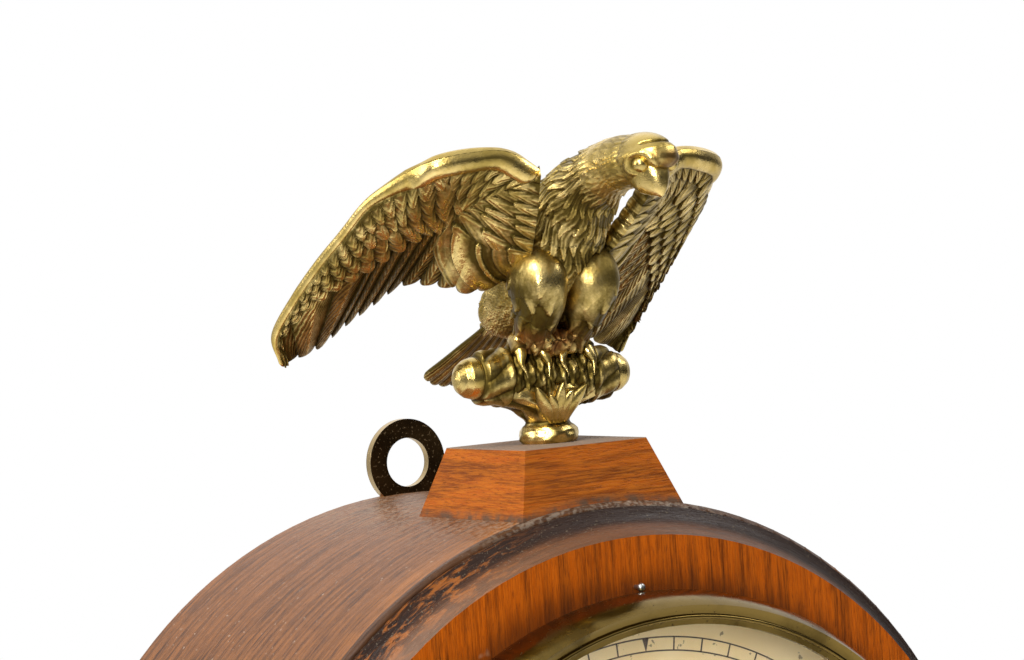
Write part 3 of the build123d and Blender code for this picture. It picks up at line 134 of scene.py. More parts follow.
class Finish:
    """one node material around a single principled shader"""

    def __init__(self, name, **constants):
        self.material = bpy.data.materials.new(name)
        self.material.use_nodes = True
        self.tree = self.material.node_tree
        self.shader = self.tree.nodes["Principled BSDF"]
        for slot, given in constants.items():
            self.shader.inputs[slot.replace("_", " ")].default_value = given
        coordinates = self.tree.nodes.new("ShaderNodeTexCoord")
        self.place = Value(coordinates.outputs["Object"])

    def set(self, slot, value):
        self.tree.links.new(value.socket, self.shader.inputs[slot])

    def bump(self, height, depth):
        """height, in parts of depth metres, pressed into the surface"""
        inputs = {"Height": height, "Distance": depth, "Strength": 1.0}
        self.set("Normal", height.node("Bump", inputs))

    def done(self, base, rough, height, depth):
        """the material with its colour, roughness and relief"""
        self.set("Base Color", base)
        self.set("Roughness", rough)
        self.bump(height, depth)
        return self.material

    def attribute(self, name):
        """a number stored with the mesh"""
        made = self.tree.nodes.new("ShaderNodeAttribute")
        made.attribute_name = name
        return Value(made.outputs["Fac"])


# Linear colours of woods: dark streaks, body and light fibres
DRUM_TONES = ((0.028, 0.009, 0.003), (0.125, 0.044, 0.011), (0.29, 0.108, 0.027))
COVE_TONES = ((0.025, 0.009, 0.004), (0.075, 0.026, 0.01), (0.15, 0.05, 0.016))
VENEER_TONES = ((0.125, 0.024, 0.0008), (0.37, 0.07, 0.001), (0.5, 0.11, 0.003))
PLINTH_TONES = ((0.12, 0.026, 0.001), (0.27, 0.058, 0.002), (0.37, 0.105, 0.006))
CASE_TONES = ((0.06, 0.022, 0.01), (0.16, 0.052, 0.017), (0.26, 0.09, 0.03))
PINE_TONES = ((0.22, 0.13, 0.06), (0.38, 0.26, 0.13), (0.48, 0.34, 0.19))
# Metals, clean and under their film
SPUN_BRASS = ((0.19, 0.125, 0.032), (0.06, 0.038, 0.009))
FITTINGS_BRASS = ((0.6, 0.45, 0.2), (0.2, 0.13, 0.05))
CAST_BRASS = ((0.62, 0.47, 0.2), (0.2, 0.14, 0.05))
MOVEMENT_BRASS = ((0.75, 0.56, 0.25), (0.5, 0.34, 0.12))
BOB_BRASS = ((0.72, 0.54, 0.25), (0.4, 0.27, 0.1))
TURNED_STEEL = (0.5, 0.5, 0.5)
PIN_STEEL = (0.42, 0.43, 0.42)
BLUED_STEEL = (0.03, 0.035, 0.06)
STEEL_FILM = (0.45, 0.42, 0.38)
HANGER_SKIN = ((0.028, 0.016, 0.006), (0.065, 0.038, 0.014))
# Two ends of what varies in paint, ink, tablets and the casting
DIAL_CREAM = ((0.95, 0.76, 0.42), (0.88, 0.66, 0.31))
INK = ((0.055, 0.03, 0.018), (0.12, 0.075, 0.045))
TABLET_GREEN = ((0.012, 0.02, 0.014), (0.03, 0.04, 0.025))
TABLET_CREAM = ((0.42, 0.34, 0.19), (0.52, 0.44, 0.27))
CREST_BRASS = ((0.88, 0.66, 0.26), (0.6, 0.42, 0.11))

DRUM_RADIUS = 0.1
# Where wear, dust and painted light lie, in metres: depths on the drum and, near its plinth, half widths and
# heights of grime; on cove, veneer and the plinth's foot, distances from the dial's axis, the cove's inner
# band being a painted sheen and the veneer's a painted shade of the bezel; on the plinth's top, heights
DRUM_BAND_AT = (0.0685, 0.0795)
DRUM_LIP_AT = (0.0797, 0.0803)
GRIME_ASIDE_AT = (0.018, 0.045)
GRIME_UP_AT = (0.09, 0.0975)
COVE_SIDE_AT = (0, 0.075)
COVE_BLACK_AT = (0.094, 0.0965)
COVE_SHEEN_AT = (0.0935, 0.096)
COVE_RIM_AT = (0.0991, 0.0996)
VENEER_SHADE_AT = (0.0805, 0.0885)
VENEER_RAGGED = 0.006
PLINTH_TOP_AT = (0.11235, 0.1125)
PLINTH_FOOT_DARK_AT = (0.1004, 0.1022)
# Depths in front of the wall between which the hanging plate's cut edge is rubbed bright
HANGER_EDGE_AT = (0.00004, 0.00016, 0.00184, 0.00196)
# Tablets: height of the middle, how the half width changes with height, half width and half height
THROAT_TABLET = (-0.224, -0.065, 0.0285, 0.108)
DOOR_TABLET = (-0.4225, 0, 0.0945, 0.0565)
# Their painted lines and oval, in parts of the half size
TABLET_LINE = (0.86, 0.87, 0.895, 0.905)
TABLET_THIN_LINE = (0.83, 0.834, 0.842, 0.846)
TABLET_OVAL = (0.66, 0.675)


def round_the_drum(place):
    """place unrolled round the dial's axis: along the rim, depth, and distance from the axis"""
    x, y, z = place.part(0), place.part(1), place.part(2)
    radius = (x * x + z * z).maths("SQRT")
    along = x.maths("ARCTAN2", z) * DRUM_RADIUS
    return along, y, radius


def layered(base, *coats):
    """base under coats, each a share and a colour"""
    for share, tint in coats:
        base = share.blend(base, tint)
    return base


def specks(place, scale, low, high):
    """small scattered spots: 1 in a spot, 0 outside"""
    return place.noise(scale, 2, 0.5).between(low, high)


def wood(name, grain, tones, roughness, streaks=(0.38, 0.62), coat=0, coat_roughness=0.3, pores=0.5,
         shine=0.3, wear_and_shading=None):
    """varnished wood: grain is a place already stretched along the fibres; a further function, if given, lays
    wear, dust and painted shade or sheen over it
    """
    dark, middle, light = tones
    finish = Finish(name, Coat_Weight=coat, Coat_Roughness=coat_roughness, Specular_IOR_Level=shine)
    fibres = grain(finish)
    broad = fibres.noise(1, 3, 0.55, 0.3).between(*streaks)
    fine = fibres.noise(4.5, 4, 0.65).between(0.36, 0.64)
    pore = fibres.noise(11, 2, 0.6).between(0.56, 0.7)
    base = layered(broad.blend(dark, middle), (fine * 0.55, light), (pore * pores, dark))
    rough = roughness + 0.12 * fine - 0.05 * broad
    if wear_and_shading:
        base, rough = wear_and_shading(finish, base, rough)
    return finish.done(base, rough, fine * 0.5 - pore * 0.6, 0.00006)


def drum_grain(finish):
    """fibres that run round the drum"""
    along, depth, radius = round_the_drum(finish.place)
    return place_from(along * 30, depth * 760, radius * 60)


def bent_drum_wood():
    """the drum's outside: fine dark streaks round it, dust, an orange worn band and a dark front lip"""
    def wear_and_shading(finish, base, rough):
        place = finish.place
        along, depth, radius = round_the_drum(place)
        forward = 0 - depth
        ragged = place.noise(90, 3)
        streaks = drum_grain(finish).noise(3, 3).between(0.45, 0.62)
        band = forward.between(*DRUM_BAND_AT) * ragged.between(0.3, 0.5) * (1 - streaks)
        lip = forward.between(*DRUM_LIP_AT) * ragged.between(0.25, 0.45)
        dust = specks(place, 900, 0.68, 0.74) * place.noise(28).between(0.45, 0.6)
        near_plinth = 1 - abs(place.part(0)).between(*GRIME_ASIDE_AT)
        top = place.part(2).between(*GRIME_UP_AT)
        grime = near_plinth * top * place.noise(900, 4).between(0.42, 0.6)
        base = layered(base, (band * 0.55, (0.3, 0.105, 0.016)), (lip * 0.8, (0.02, 0.01, 0.006)),
                       (dust * 0.45, (0.45, 0.36, 0.28)), (grime * 0.28, (0.36, 0.3, 0.23)))
        return base, rough + dust * 0.3 + grime * 0.25

    return wood("bent drum wood", drum_grain, DRUM_TONES, 0.42, coat=0.2, pores=1, shine=0.15, wear_and_shading=wear_and_shading)


def cove_wood():
    """the hollow moulding: near black outside with orange rubbed streaks, a painted grey sheen inside,
    stronger on the left
    """
    def wear_and_shading(finish, base, rough):
        along, depth, radius = round_the_drum(finish.place)
        side = (0 - finish.place.part(0)).between(*COVE_SIDE_AT)
        streaks = place_from(along * 120, depth * 500, radius * 700)
        rubbed = streaks.noise(1.4, 5, 0.7, 0.6).between(0.47, 0.62) * side.between(0, 0.6)
        black = radius.between(*COVE_BLACK_AT) * (1 - rubbed * 0.8)
        # inner: a painted sheen, a grey reflection laid on the cove's inner part, stronger on the left, with
        # less roughness
        inner = (1 - radius.between(*COVE_SHEEN_AT)) * (0.35 + 0.5 * side)
        rim = radius.between(*COVE_RIM_AT) * finish.place.noise(240, 3).between(0.35, 0.6)
        dust = specks(finish.place, 2000, 0.62, 0.7)
        base = layered(base, (0.1 + rubbed * 0.75, (0.3, 0.09, 0.012)), (black * 0.93, (0.012, 0.006, 0.004)),
                       (inner * 0.75, (0.15, 0.1, 0.07)), (rim * 0.2, (0.25, 0.09, 0.025)),
                       (dust * 0.3, (0.22, 0.18, 0.12)))
        return base, rough + dust * 0.25 - inner * 0.08

    return wood("cove moulding wood", drum_grain, COVE_TONES, 0.36, coat=0.06, coat_roughness=0.22, shine=0.2,
                wear_and_shading=wear_and_shading)


def straight_grain(x_rate, z_rate, y_rate):
    """fibres along the direction with the lowest rate"""
    return lambda finish: finish.place.stretched(x_rate, y_rate, z_rate)


def face_veneer_wood():
    """the orange veneer round the bezel, its grain upright, with painted shade darkening it towards the bezel
    """
    def wear_and_shading(finish, base, rough):
        radius = round_the_drum(finish.place)[2]
        ragged = finish.place.stretched(420, 60, 60).noise(1, 3)
        # shade: painted shade of the bezel, a near black band round it with a ragged edge
        shade = 1 - (radius + (ragged - 0.5) * VENEER_RAGGED).between(*VENEER_SHADE_AT)
        marks = finish.place.noise(130, 2).between(0.7, 0.76)
        base = layered(base, (shade * 0.72, (0.035, 0.01, 0.003)), (marks * 0.25, (0.55, 0.4, 0.25)))
        return base, rough + marks * 0.2

    return wood("face veneer", straight_grain(760, 34, 60), VENEER_TONES, 0.5, streaks=(0.34, 0.6),
                pores=0.75, shine=0.1, wear_and_shading=wear_and_shading)


def plinth_wood():
    """the finial's plinth: grain across, dust on top, and darker in patches at its foot where it meets the
    drum
    """
    def wear_and_shading(finish, base, rough):
        top = finish.place.part(2).between(*PLINTH_TOP_AT)
        foot_mottle = finish.place.noise(300, 4, 0.6).between(0.4, 0.62)
        radius = round_the_drum(finish.place)[2]
        foot = (1 - radius.between(*PLINTH_FOOT_DARK_AT)) * (0.35 + foot_mottle * 0.65)
        base = layered(base, (top * 0.75, (0.2, 0.17, 0.13)), (foot * 0.85, (0.06, 0.042, 0.028)))
        return base, rough + top * 0.25 + foot * 0.3

    return wood("plinth wood", straight_grain(34, 620, 34), PLINTH_TONES, 0.45, pores=0.8, shine=0.12,
                wear_and_shading=wear_and_shading)


def plain_case_wood(name, x_rate, z_rate, y_rate=60):
    """the varnished wood of throat, box and door"""
    return wood(name, straight_grain(x_rate, z_rate, y_rate), CASE_TONES, 0.4, coat=0.25)


def brass(name, tones, roughness=0.28, grime=0.5, brushed=False, turned=False):
    """aged brass: brown film in patches over the metal"""
    finish = Finish(name, Metallic=1)
    place = finish.place
    film = place.noise(70, 5, 0.62, 0.2).between(0.4, 0.68)
    spots = specks(place, 1100, 0.66, 0.74)
    base = layered((film * grime).blend(*tones), (spots * 0.6, (0.05, 0.035, 0.02)))
    rough = roughness + film * 0.18 + spots * 0.25
    if turned:
        along, depth, radius = round_the_drum(place)
        lines = place_from(along * 12, depth * 9000, radius * 9000).noise(1, 2)
        return finish.done(base, rough, lines + spots * 0.4, 0.00001)
    if brushed:
        return finish.done(base, rough, place.stretched(30, 2500, 2500).noise(1, 2), 0.00001)
    return finish.done(base, rough, place.noise(700, 3) + place.noise(90) * 2, 0.00008)


def steel(name, tint, roughness=0.32, rust=0):
    """turned steel under a darker film"""
    finish = Finish(name, Metallic=1)
    place = finish.place
    film = place.noise(160, 4, 0.6).between(0.45, 0.7)
    base = (film * 0.5).blend(tint, [part * share for part, share in zip(tint, STEEL_FILM)])
    if rust:
        base = (specks(place, 800, 0.6, 0.7) * rust).blend(base, (0.1, 0.04, 0.015))
    return finish.done(base, roughness + film * 0.2, place.noise(900, 3), 0.00002)


def hanger_bronze():
    """the hanging plate: dark brown skin with fine specks, bright where its edge is rubbed"""
    finish = Finish("hanging plate", Metallic=1)
    place = finish.place
    cut = (0 - place.part(1)).band(HANGER_EDGE_AT)
    spots = specks(place, 1500, 0.6, 0.68)
    film = place.noise(110, 4).between(0.35, 0.65)
    base = layered(film.blend(*HANGER_SKIN), (spots * 0.7, (0.3, 0.22, 0.12)),
                   (cut * 0.85, (0.6, 0.44, 0.22)))
    return finish.done(base, 0.5 - cut * 0.2 + spots * 0.1, place.noise(1300, 3), 0.00004)


def dial_paint():
    """aged cream paint with fine dark specks"""
    finish = Finish("dial paint", Coat_Weight=0.2, Coat_Roughness=0.3)
    place = finish.place
    cloud = place.noise(35, 4, 0.6).between(0.35, 0.7)
    base = layered(cloud.blend(*DIAL_CREAM), (specks(place, 620, 0.69, 0.73) * 0.7, (0.12, 0.07, 0.03)))
    return finish.done(base, 0.5 + cloud * 0.15, place.noise(500, 3), 0.00002)


def dial_ink():
    """brown-black printing, worn in places"""
    finish = Finish("dial ink", Roughness=0.55)
    worn = finish.place.noise(900, 3).between(0.3, 0.75)
    finish.set("Base Color", worn.blend(*INK))
    finish.bump(worn, 0.00001)
    return finish.material


def dial_place(radius, turn, aside=0):
    """x and z of a place on the dial: how far out, in which direction, and how far to the side of it"""
    x = radius * math.sin(turn) + aside * math.cos(turn)
    return x, radius * math.cos(turn) - aside * math.sin(turn)


def add_stroke(corners, faces, start, end, start_half, end_half):
    """one printed line between two places on the dial, with a half width at each end"""
    (x0, z0), (x1, z1) = dial_place(*start), dial_place(*end)
    length = math.hypot(x1 - x0, z1 - z0)
    across, rise = -(z1 - z0) / length, (x1 - x0) / length
    first = len(corners)
    for x, z, half in ((x0, z0, start_half), (x0, z0, -start_half), (x1, z1, -end_half), (x1, z1, end_half)):
        corners.append((x + across * half, z + rise * half))
    faces.append((first, first + 1, first + 2, first + 3))


def letter_lines(letter, start):
    """strokes of one letter: places of foot and head across the numeral, and the half width"""
    width = LETTER_WIDTHS[letter]
    left, right, middle = (start + share * width for share in LETTER_SPAN + (0.5,))
    if letter == "I":
        return ((middle, middle, PLAIN_LINE),)
    if letter == "V":
        return ((middle, left, THICK_LINE), (middle, right, THIN_LINE))
    return ((right, left, THICK_LINE), (left, right, THIN_LINE))


def dial_printing():
    """the dial's printing: a minute track with a pointer at twelve, and plain Roman numerals"""
    corners, faces = [], []
    stroke = partial(add_stroke, corners, faces)
    for radius in TRACK:
        for step in range(360):
            stroke((radius, math.radians(step)), (radius, math.radians(step + 1)), RING_LINE, RING_LINE)
    inner, outer = TRACK
    for minute in range(60):
        turn = math.radians(MINUTE_TURN * minute + DIAL_TURN)
        stroke((inner, turn), (outer, turn), *((MINUTE_LINE, MINUTE_LINE) if minute else POINTER_LINES))
    low, high = NUMERAL_BAND
    for hour, numeral in enumerate(NUMERALS, 1):
        turn = math.radians(HOUR_TURN * hour + DIAL_TURN)
        start = -0.5 * sum(LETTER_WIDTHS[letter] for letter in numeral)
        for letter in numeral:
            for foot, head, half in letter_lines(letter, start):
                stroke((low, turn, foot), (high, turn, head), half, half)
                for level, end in ((low, foot), (high, head)):
                    left, right = end - SERIF_REACH, end + SERIF_REACH
                    stroke((level, turn, left), (level, turn, right), SERIF_LINE, SERIF_LINE)
            start += LETTER_WIDTHS[letter]
    dial_low, dial_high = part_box("dial")
    front = dial_low[1] - PRINT_LIFT * MM
    middle = 0.5 * (dial_low[2] + dial_high[2])
    mesh = bpy.data.meshes.new("dial_printing")
    mesh.from_pydata([(x * MM, front, middle + z * MM) for x, z in corners], [], faces)
    mesh.materials.append(dial_ink())
    printing = placed("dial_printing", mesh)
    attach(printing, "case")


def clear_glass():
    """the bezel's glass: clear, and a little smeared"""
    finish = Finish("clear glass", Base_Color=WHITE, Transmission_Weight=1, IOR=1.2)
    smear = finish.place.noise(60, 3).between(0.5, 0.8)
    finish.set("Roughness", 0.01 + smear * 0.03)
    return finish.material


def tablet_glass(name, middle, height, half_width, half_height):
    """a glass tablet painted behind: dark green ground, two gold lines and a plain cream oval"""
    finish = Finish(name, Coat_Weight=1, Coat_Roughness=0.05)
    x, z = finish.place.part(0), finish.place.part(2) - middle
    across = abs(x) / (half_width + height * z)
    tall = abs(z) / half_height
    edge = across.maths("MAXIMUM", tall)
    gold = edge.band(TABLET_LINE).maths("MAXIMUM", edge.band(TABLET_THIN_LINE))
    oval = 1 - (across * across + tall * tall).maths("SQRT").between(*TABLET_OVAL)
    mottle = finish.place.noise(120, 4)
    base = layered(mottle.blend(*TABLET_GREEN), (oval * 0.9, mottle.blend(*TABLET_CREAM)),
                   (gold, (0.55, 0.38, 0.12)))
    return finish.done(base, 0.35 + mottle * 0.2, mottle, 0.00002)


def placed(name, data):
    """a new object in the scene"""
    made = bpy.data.objects.new(name, data)
    bpy.context.scene.collection.objects.link(made)
    return made


def paint(names, material):
    """gives CAD nodes, named in one string, their finish"""
    for name in names.split():
        piece = frame["nodes"][name]
        piece.data.materials.clear()
        piece.data.materials.append(material)
        for face in piece.data.polygons:
            face.material_index = 0


def finish_the_case():
    """woods and tablets"""
    paint("head_case", bent_drum_wood())
    paint("cove_moulding", cove_wood())
    paint("face_veneer", face_veneer_wood())
    paint("finial_plinth", plinth_wood())
    upright = plain_case_wood("upright case wood", 420, 26, 300)
    paint("throat_sides throat_frame box_sides", upright)
    paint("box_top box_bottom", plain_case_wood("level case wood", 26, 420, 300))
    paint("door_frame", plain_case_wood("door wood", 300, 24))
    paint("case_back front_board", wood("plain pine", straight_grain(220, 14, 220), PINE_TONES, 0.7))
    paint("throat_tablet", tablet_glass("throat tablet", *THROAT_TABLET))
    paint("door_tablet", tablet_glass("door tablet", *DOOR_TABLET))


def finish_the_metal():
    """brass, other metals, the dial and its glass"""
    paint("bezel glass_retainer", brass("spun brass", SPUN_BRASS, 0.13, 0.6, turned=True))
    fittings = brass("brass fittings", FITTINGS_BRASS, brushed=True)
    paint("bezel_hinge_arm bezel_hinge_leaf door_hinge_leaves door_hinge_arms", fittings)
    paint("side_arms door_knob", brass("cast brass", CAST_BRASS))
    works = brass("movement brass", MOVEMENT_BRASS, 0.22, 0.3, brushed=True)
    paint("movement_front_plate movement_back_plate movement_pillars barrel barrel_cap centre_wheel "
          "third_wheel escape_wheel minute_wheel hour_wheel cannon_pinion hand_nut suspension_cock "
          "rating_nut", works)
    paint("pendulum_bob", brass("bob brass", BOB_BRASS, 0.2, 0.35))
    paint("bezel_keeper_pin", steel("pin steel", PIN_STEEL, rust=0.5))
    paint("minute_hand hour_hand", steel("blued steel", BLUED_STEEL, 0.25))
    paint("hanger_plate", hanger_bronze())
    paint("dial", dial_paint())
    paint("bezel_glass", clear_glass())


# Eagle finial, one casting gathered from grids of points. Its tables are millimetres from the middle
# of the foot, x to the right, y to the back and z up, before the bird is leaned; sides are mirrored

LEAN = math.radians(2.3)
LEAN_HEIGHT = 10
# Rows and columns of points of each form
MESH = {"trunk": (340, 240), "head": (170, 200), "eye": (30, 40), "feet": (110, 160), "beak": (60, 48),
        "thigh": (150, 130), "log": (260, 140), "claw": (80, 28), "frond": (50, 26), "foot": (170, 180)}
FEATHER_ROWS, WING_END_ROWS, FEATHER_COLUMNS = 22, 34, 220
# Locks of feathers: length of one, and how many go round
NECK_LOCKS, BREAST_LOCKS, HEAD_LOCKS, THIGH_LOCKS = (3.4, 26), (5.6, 22), (3.2, 26), (6, 9)
# Distances from the neck's end at which breast and rump begin and are full
BREAST_AT, RUMP_AT = (12, 20), (40, 47)
# The trunk from rump to neck: y, z, half width and half depth
TRUNK = (
    (17.5, 26.5, 3.6, 2.6), (13, 28, 7.4, 5.6), (8.6, 30.3, 8.6, 7), (2, 34.8, 9.9, 9.4),
    (-4, 41.2, 10.2, 10.6), (-10.6, 47.9, 9.9, 9.2), (-16.5, 52.6, 8.9, 7.6), (-21, 55.6, 7.8, 6.7),
    (-30, 58.8, 6.2, 5.9), (-37, 59.5, 5.8, 5.6), (-42, 59.7, 5.2, 5),
)
HEAD = ((0, -41.2, 59.75), (5.6, 8.7, 5.6))
BROW = (-39.5, 59.9, 0.2)
EYE = ((3.65, -45, 58.5), 1.75)
EYE_RIM = 2.05
UPPER_BEAK = (
    (0, -41, 60, 3.4, 4.6), (0, -42.2, 58, 4.1, 5.6), (0, -43.6, 56.2, 3.7, 5),
    (0, -45, 54.6, 2.9, 3.8), (0, -46, 53.1, 1.9, 2.5), (0, -46.5, 52, 0.9, 1.2),
    (0, -46.5, 51.5, 0.1, 0.1),
)
LOWER_BEAK = ((0, -36, 57.2, 3.2, 2), (0, -39.5, 56, 2.9, 1.8), (0, -43, 54.8, 1.6, 1))
THIGH = (
    (6.4, -6, 40.6, 3.2, 3.8), (6.9, -8.2, 38.2, 5.5, 6.3), (6.8, -9.4, 35, 6.4, 7.4),
    (6.1, -8.6, 31, 5.7, 6.6), (5.6, -6.2, 27, 4.6, 5.4), (5.2, -4.4, 23.8, 3.8, 4.4),
    (5, -3, 21, 3.4, 3.8),
)
FEET = ((-0.8, -3, 22.2), (8.6, 6, 3.7))
LEADING_EDGE = (
    (14.6, -24, 58.4), (21.9, -23, 62.3), (29.8, -21.2, 62.3), (36.9, -17.9, 60.9), (39.3, -12.5, 59.1),
    (42.1, -7.2, 56.4), (44.4, -0.9, 52.8), (45.6, 7.2, 46.9), (46.8, 15.7, 40.9), (47.9, 24.6, 33.7),
    (48.4, 33.2, 25.4), (46, 34.7, 19.3),
)
TRAILING_EDGE = (
    (6.5, -6, 37), (15.5, 2.4, 33.1), (19.1, 7, 34.2), (21.1, 12, 35), (24.4, 18, 34.9),
    (28.5, 25, 30.3), (32, 31, 26), (36, 34.3, 21.9), (40.6, 35, 20.1), (44.5, 35.1, 18.9),
)
# The line that coverts hang from, and where along it they grow short
COVERT_LINE = ((7.5, -9, 45.5), (9.5, -17, 52.5)) + LEADING_EDGE
COVERT_END = (0.35, 0.95)
# Coverts: where a row starts and ends below their line, and how wide each is. Levels: how high the long
# feathers and each row lie. Roll: radii of the rolled edge at its two ends
WING = {"feathers": 14, "coverts": ((15, 25, 5.2), (9.6, 18.6, 4.7), (5, 12.6, 4.2), (1.8, 7.4, 3.6)),
        "levels": (0.3, 0.5, 0.8, 1.1, 1.4), "roll": (2.5, 0.85), "camber": 1.5, "notch": 0.035,
        "lap": 0.36, "tone": 0.08, "strokes": 0.6, "sweep": 0.75, "edge": LEADING_EDGE}
TAIL = {"feathers": 6, "coverts": ((0, 11, 0.2),), "levels": (0.55, 0.9), "roll": (0.5, 0.5),
        "camber": 0.6, "notch": 0.05, "lap": 0.35, "tone": 0, "strokes": 1}
ROLL_END = 2.6
TAIL_ROOT = ((-3.2, 9, 30), (0, 8, 31), (3.2, 9, 30))
TAIL_TIP = ((-8.4, 36.2, 14.6), (-4.4, 38.4, 12.8), (0, 39.2, 12.2), (4.4, 38.4, 12.8), (8.4, 36.2, 14.6))
# Claws: places along the log, and the ankle each belongs to
CLAWS = ((-9.1, -4.4), (-3.5, -4.4), (1.5, 4.4), (8.2, 4.4))
LOG_HEIGHT = 14.7
LOG_PROFILE = (
    (-22.5, 0), (-22.2, 1.7), (-21.2, 3.2), (-19.8, 4.15), (-18.2, 4.55), (-17.4, 4.5), (-17.2, 4.8),
    (-16.8, 5.4), (-15.6, 5.7), (-13.6, 5.7), (-12.4, 6), (-11.6, 6.5), (-10.9, 6.5), (-10.2, 6.1),
    (-9.6, 6.2), (-6, 6.6), (0, 6.8),
)
FOOT_PROFILE = (
    (0, 0), (5.9, 0), (6.4, 0.7), (6.5, 1.7), (6.3, 2.8), (5.7, 3.6), (5, 4.1), (4.8, 4.6),
    (5.1, 5.4), (5.6, 6.6), (6.4, 7.8), (7.6, 9), (8.6, 10.4), (8.8, 11.8), (8, 12.8), (0, 12.8),
)
FOOT_SHIFT = 0.9
FOOT_LEAVES = 9
FRONDS = ((-6.6, 12.6), (-3.2, 10.8), (0.2, 13.2), (2.6, 11.4), (6.2, 12.4))


def even(count):
    """equal steps from 0 to 1"""
    return np.linspace(0, 1, count)


def full_turn(columns):
    """equal steps round an axis"""
    return np.linspace(0, 2 * pi, columns, endpoint=False)


def run_of(points):
    """how far along a row of points each one lies"""
    return np.concatenate([[0], np.cumsum(np.linalg.norm(np.diff(points, axis=0), axis=1))])


def bell(value, width, power=2):
    """1 where value is 0, falling away on both sides"""
    return np.exp(-(value / width) ** power)


def arch(value):
    """1 where value is 0, falling in a round curve to 0 at 1"""
    return np.sqrt(clip(1 - value, 0, 1))


def chance(seed):
    """a scattered number from 0 to 1 for each seed"""
    return np.mod(sin(seed) * 437.6, 1)


def over(inside, new, old):
    """new values where inside holds, old ones elsewhere"""
    return [where(inside, *pair) for pair in zip(new, old)]


def turned(profile, count):
    """the two columns of a turned profile at equal steps of its length"""
    run = run_of(profile)
    return (np.interp(even(count) * run[-1], run, column)[:, None] for column in profile.T)


def along(points, shares):
    """rows of a smooth curve through the points, at shares of its length"""
    points = np.array(points, float)
    ends = np.vstack([2 * points[0] - points[1], points, 2 * points[-1] - points[-2]])
    steps = even(17)[:-1, None]
    pieces = []
    for before, start, end, after in zip(ends, ends[1:], ends[2:], ends[3:]):
        bend = 2 * before - 5 * start + 4 * end - after
        twist = 3 * start - before - 3 * end + after
        pieces.append(0.5 * (2 * start + (end - before) * steps + bend * steps ** 2 + twist * steps ** 3))
    curve = np.vstack(pieces + [points[-1:]])
    run = run_of(curve[:, :3])
    wanted = clip(shares, 0, 1) * run[-1]
    return np.stack([np.interp(wanted, run, column) for column in curve.T], axis=-1)


def unit(vectors):
    """the same directions with length 1"""
    return vectors / np.maximum(np.linalg.norm(vectors, axis=-1, keepdims=True), 1e-9)


def smooth(low, high, value):
    """0 at low, 1 at high, smooth in between; low may lie above high"""
    share = clip((value - low) / (high - low), 0, 1)
    return share * share * (3 - 2 * share)


def locks(down, around, length, count):
    """overlapping pointed locks: height from 0 to 1, and places across and down each lock"""
    row = np.floor(down / length)
    picked = []
    for above in (1, 0):
        first = row - above
        place = around * count + 0.5 * np.mod(first, 2)
        column = np.floor(place)
        longer = 1.3 + 0.55 * chance(first * 12.99 + np.mod(column, count) * 78.2)
        across = 2 * (place - column) - 1
        share = (down - first * length) / (longer * length * (1 - 0.55 * abs(across) ** 1.5))
        height = (0.25 + 0.75 * share) * (1 - 0.62 * across ** 2)
        picked.append((height, across, share))
    upper, (height, across, share) = picked
    return over(upper[2] < 1, upper, (np.minimum(height, 1) * 0.75, across, share))


def tube(rows, columns):
    """points and outward directions of a form whose oval cross-sections follow a path"""
    middle, halves = rows[:, :3], rows[:, 3:5]
    right = np.array((1, 0, 0))
    ahead = unit(np.gradient(middle, axis=0))
    across = unit(right - ahead * (ahead @ right)[:, None])
    above = np.cross(ahead, across)
    turn = full_turn(columns)
    aside, rise = cos(turn)[None, :, None], sin(turn)[None, :, None]
    wide, deep = halves[:, None, :1], np.maximum(halves[:, None, 1:], 0.01)
    points = middle[:, None] + across[:, None] * aside * wide + above[:, None] * rise * deep
    outward = unit(across[:, None] * aside * deep + above[:, None] * rise * wide)
    return points, outward, turn


def form_along(table, count, columns):
    """a tube whose rows follow a table, and each row's share of its length"""
    share = even(count)
    return (*tube(along(table, share), columns), share[:, None])


class Casting:
    """grids gathered into one mesh; each point carries how deep it lies, with painted shade added in places,
    and how it is engraved
    """

    MARKS = ("deep", "engraved", "copper", "down_feather", "across_feather")

    def __init__(self):
        self.points, self.faces, self.marks = [], [], []
        self.count = 0

    def sheet(self, grid, deep, engraved=0, copper=0, down=0, across=0, ring=True, side=1):
        """adds rows and columns of points; ring joins the last column to the first"""
        rows, columns = grid.shape[:2]
        numbers = np.arange(rows * columns).reshape(rows, columns) + self.count
        if ring:
            numbers = np.hstack([numbers, numbers[:, :1]])
        corners = [numbers[:-1, :-1], numbers[:-1, 1:], numbers[1:, 1:], numbers[1:, :-1]]
        quads = np.stack(corners[::side], axis=-1)
        marks = (deep, engraved, copper, down, across)
        marks = [np.broadcast_to(mark, (rows, columns)).reshape(-1) for mark in marks]
        self.points.append((grid * (side, 1, 1)).reshape(-1, 3))
        self.faces.append(quads.reshape(-1, 4))
        self.marks.append(np.stack(marks, axis=-1))
        self.count += rows * columns

    def lean(self):
        """leans all that has been added so far to the right"""
        for points in self.points:
            x, z = points[:, 0].copy(), points[:, 2] - LEAN_HEIGHT
            points[:, 0] = x * math.cos(LEAN) + z * math.sin(LEAN)
            points[:, 2] = z * math.cos(LEAN) - x * math.sin(LEAN) + LEAN_HEIGHT

    def pour(self, name, foot):
        """the finished mesh, standing on its foot"""
        points = np.vstack(self.points) * MM + np.array(foot)
        mesh = bpy.data.meshes.new(name)
        mesh.from_pydata(points.tolist(), [], np.vstack(self.faces).tolist())
        marks = np.vstack(self.marks).astype(np.float32)
        for mark, values in zip(self.MARKS, marks.T):
            stored = mesh.attributes.new(mark, "FLOAT", "POINT")
            stored.data.foreach_set("value", np.ascontiguousarray(values))
        net = bmesh.new()
        net.from_mesh(mesh)
        bmesh.ops.remove_doubles(net, verts=net.verts, dist=0.0002 * MM)
        net.to_mesh(mesh)
        net.free()
        mesh.shade_smooth()
        return placed(name, mesh)


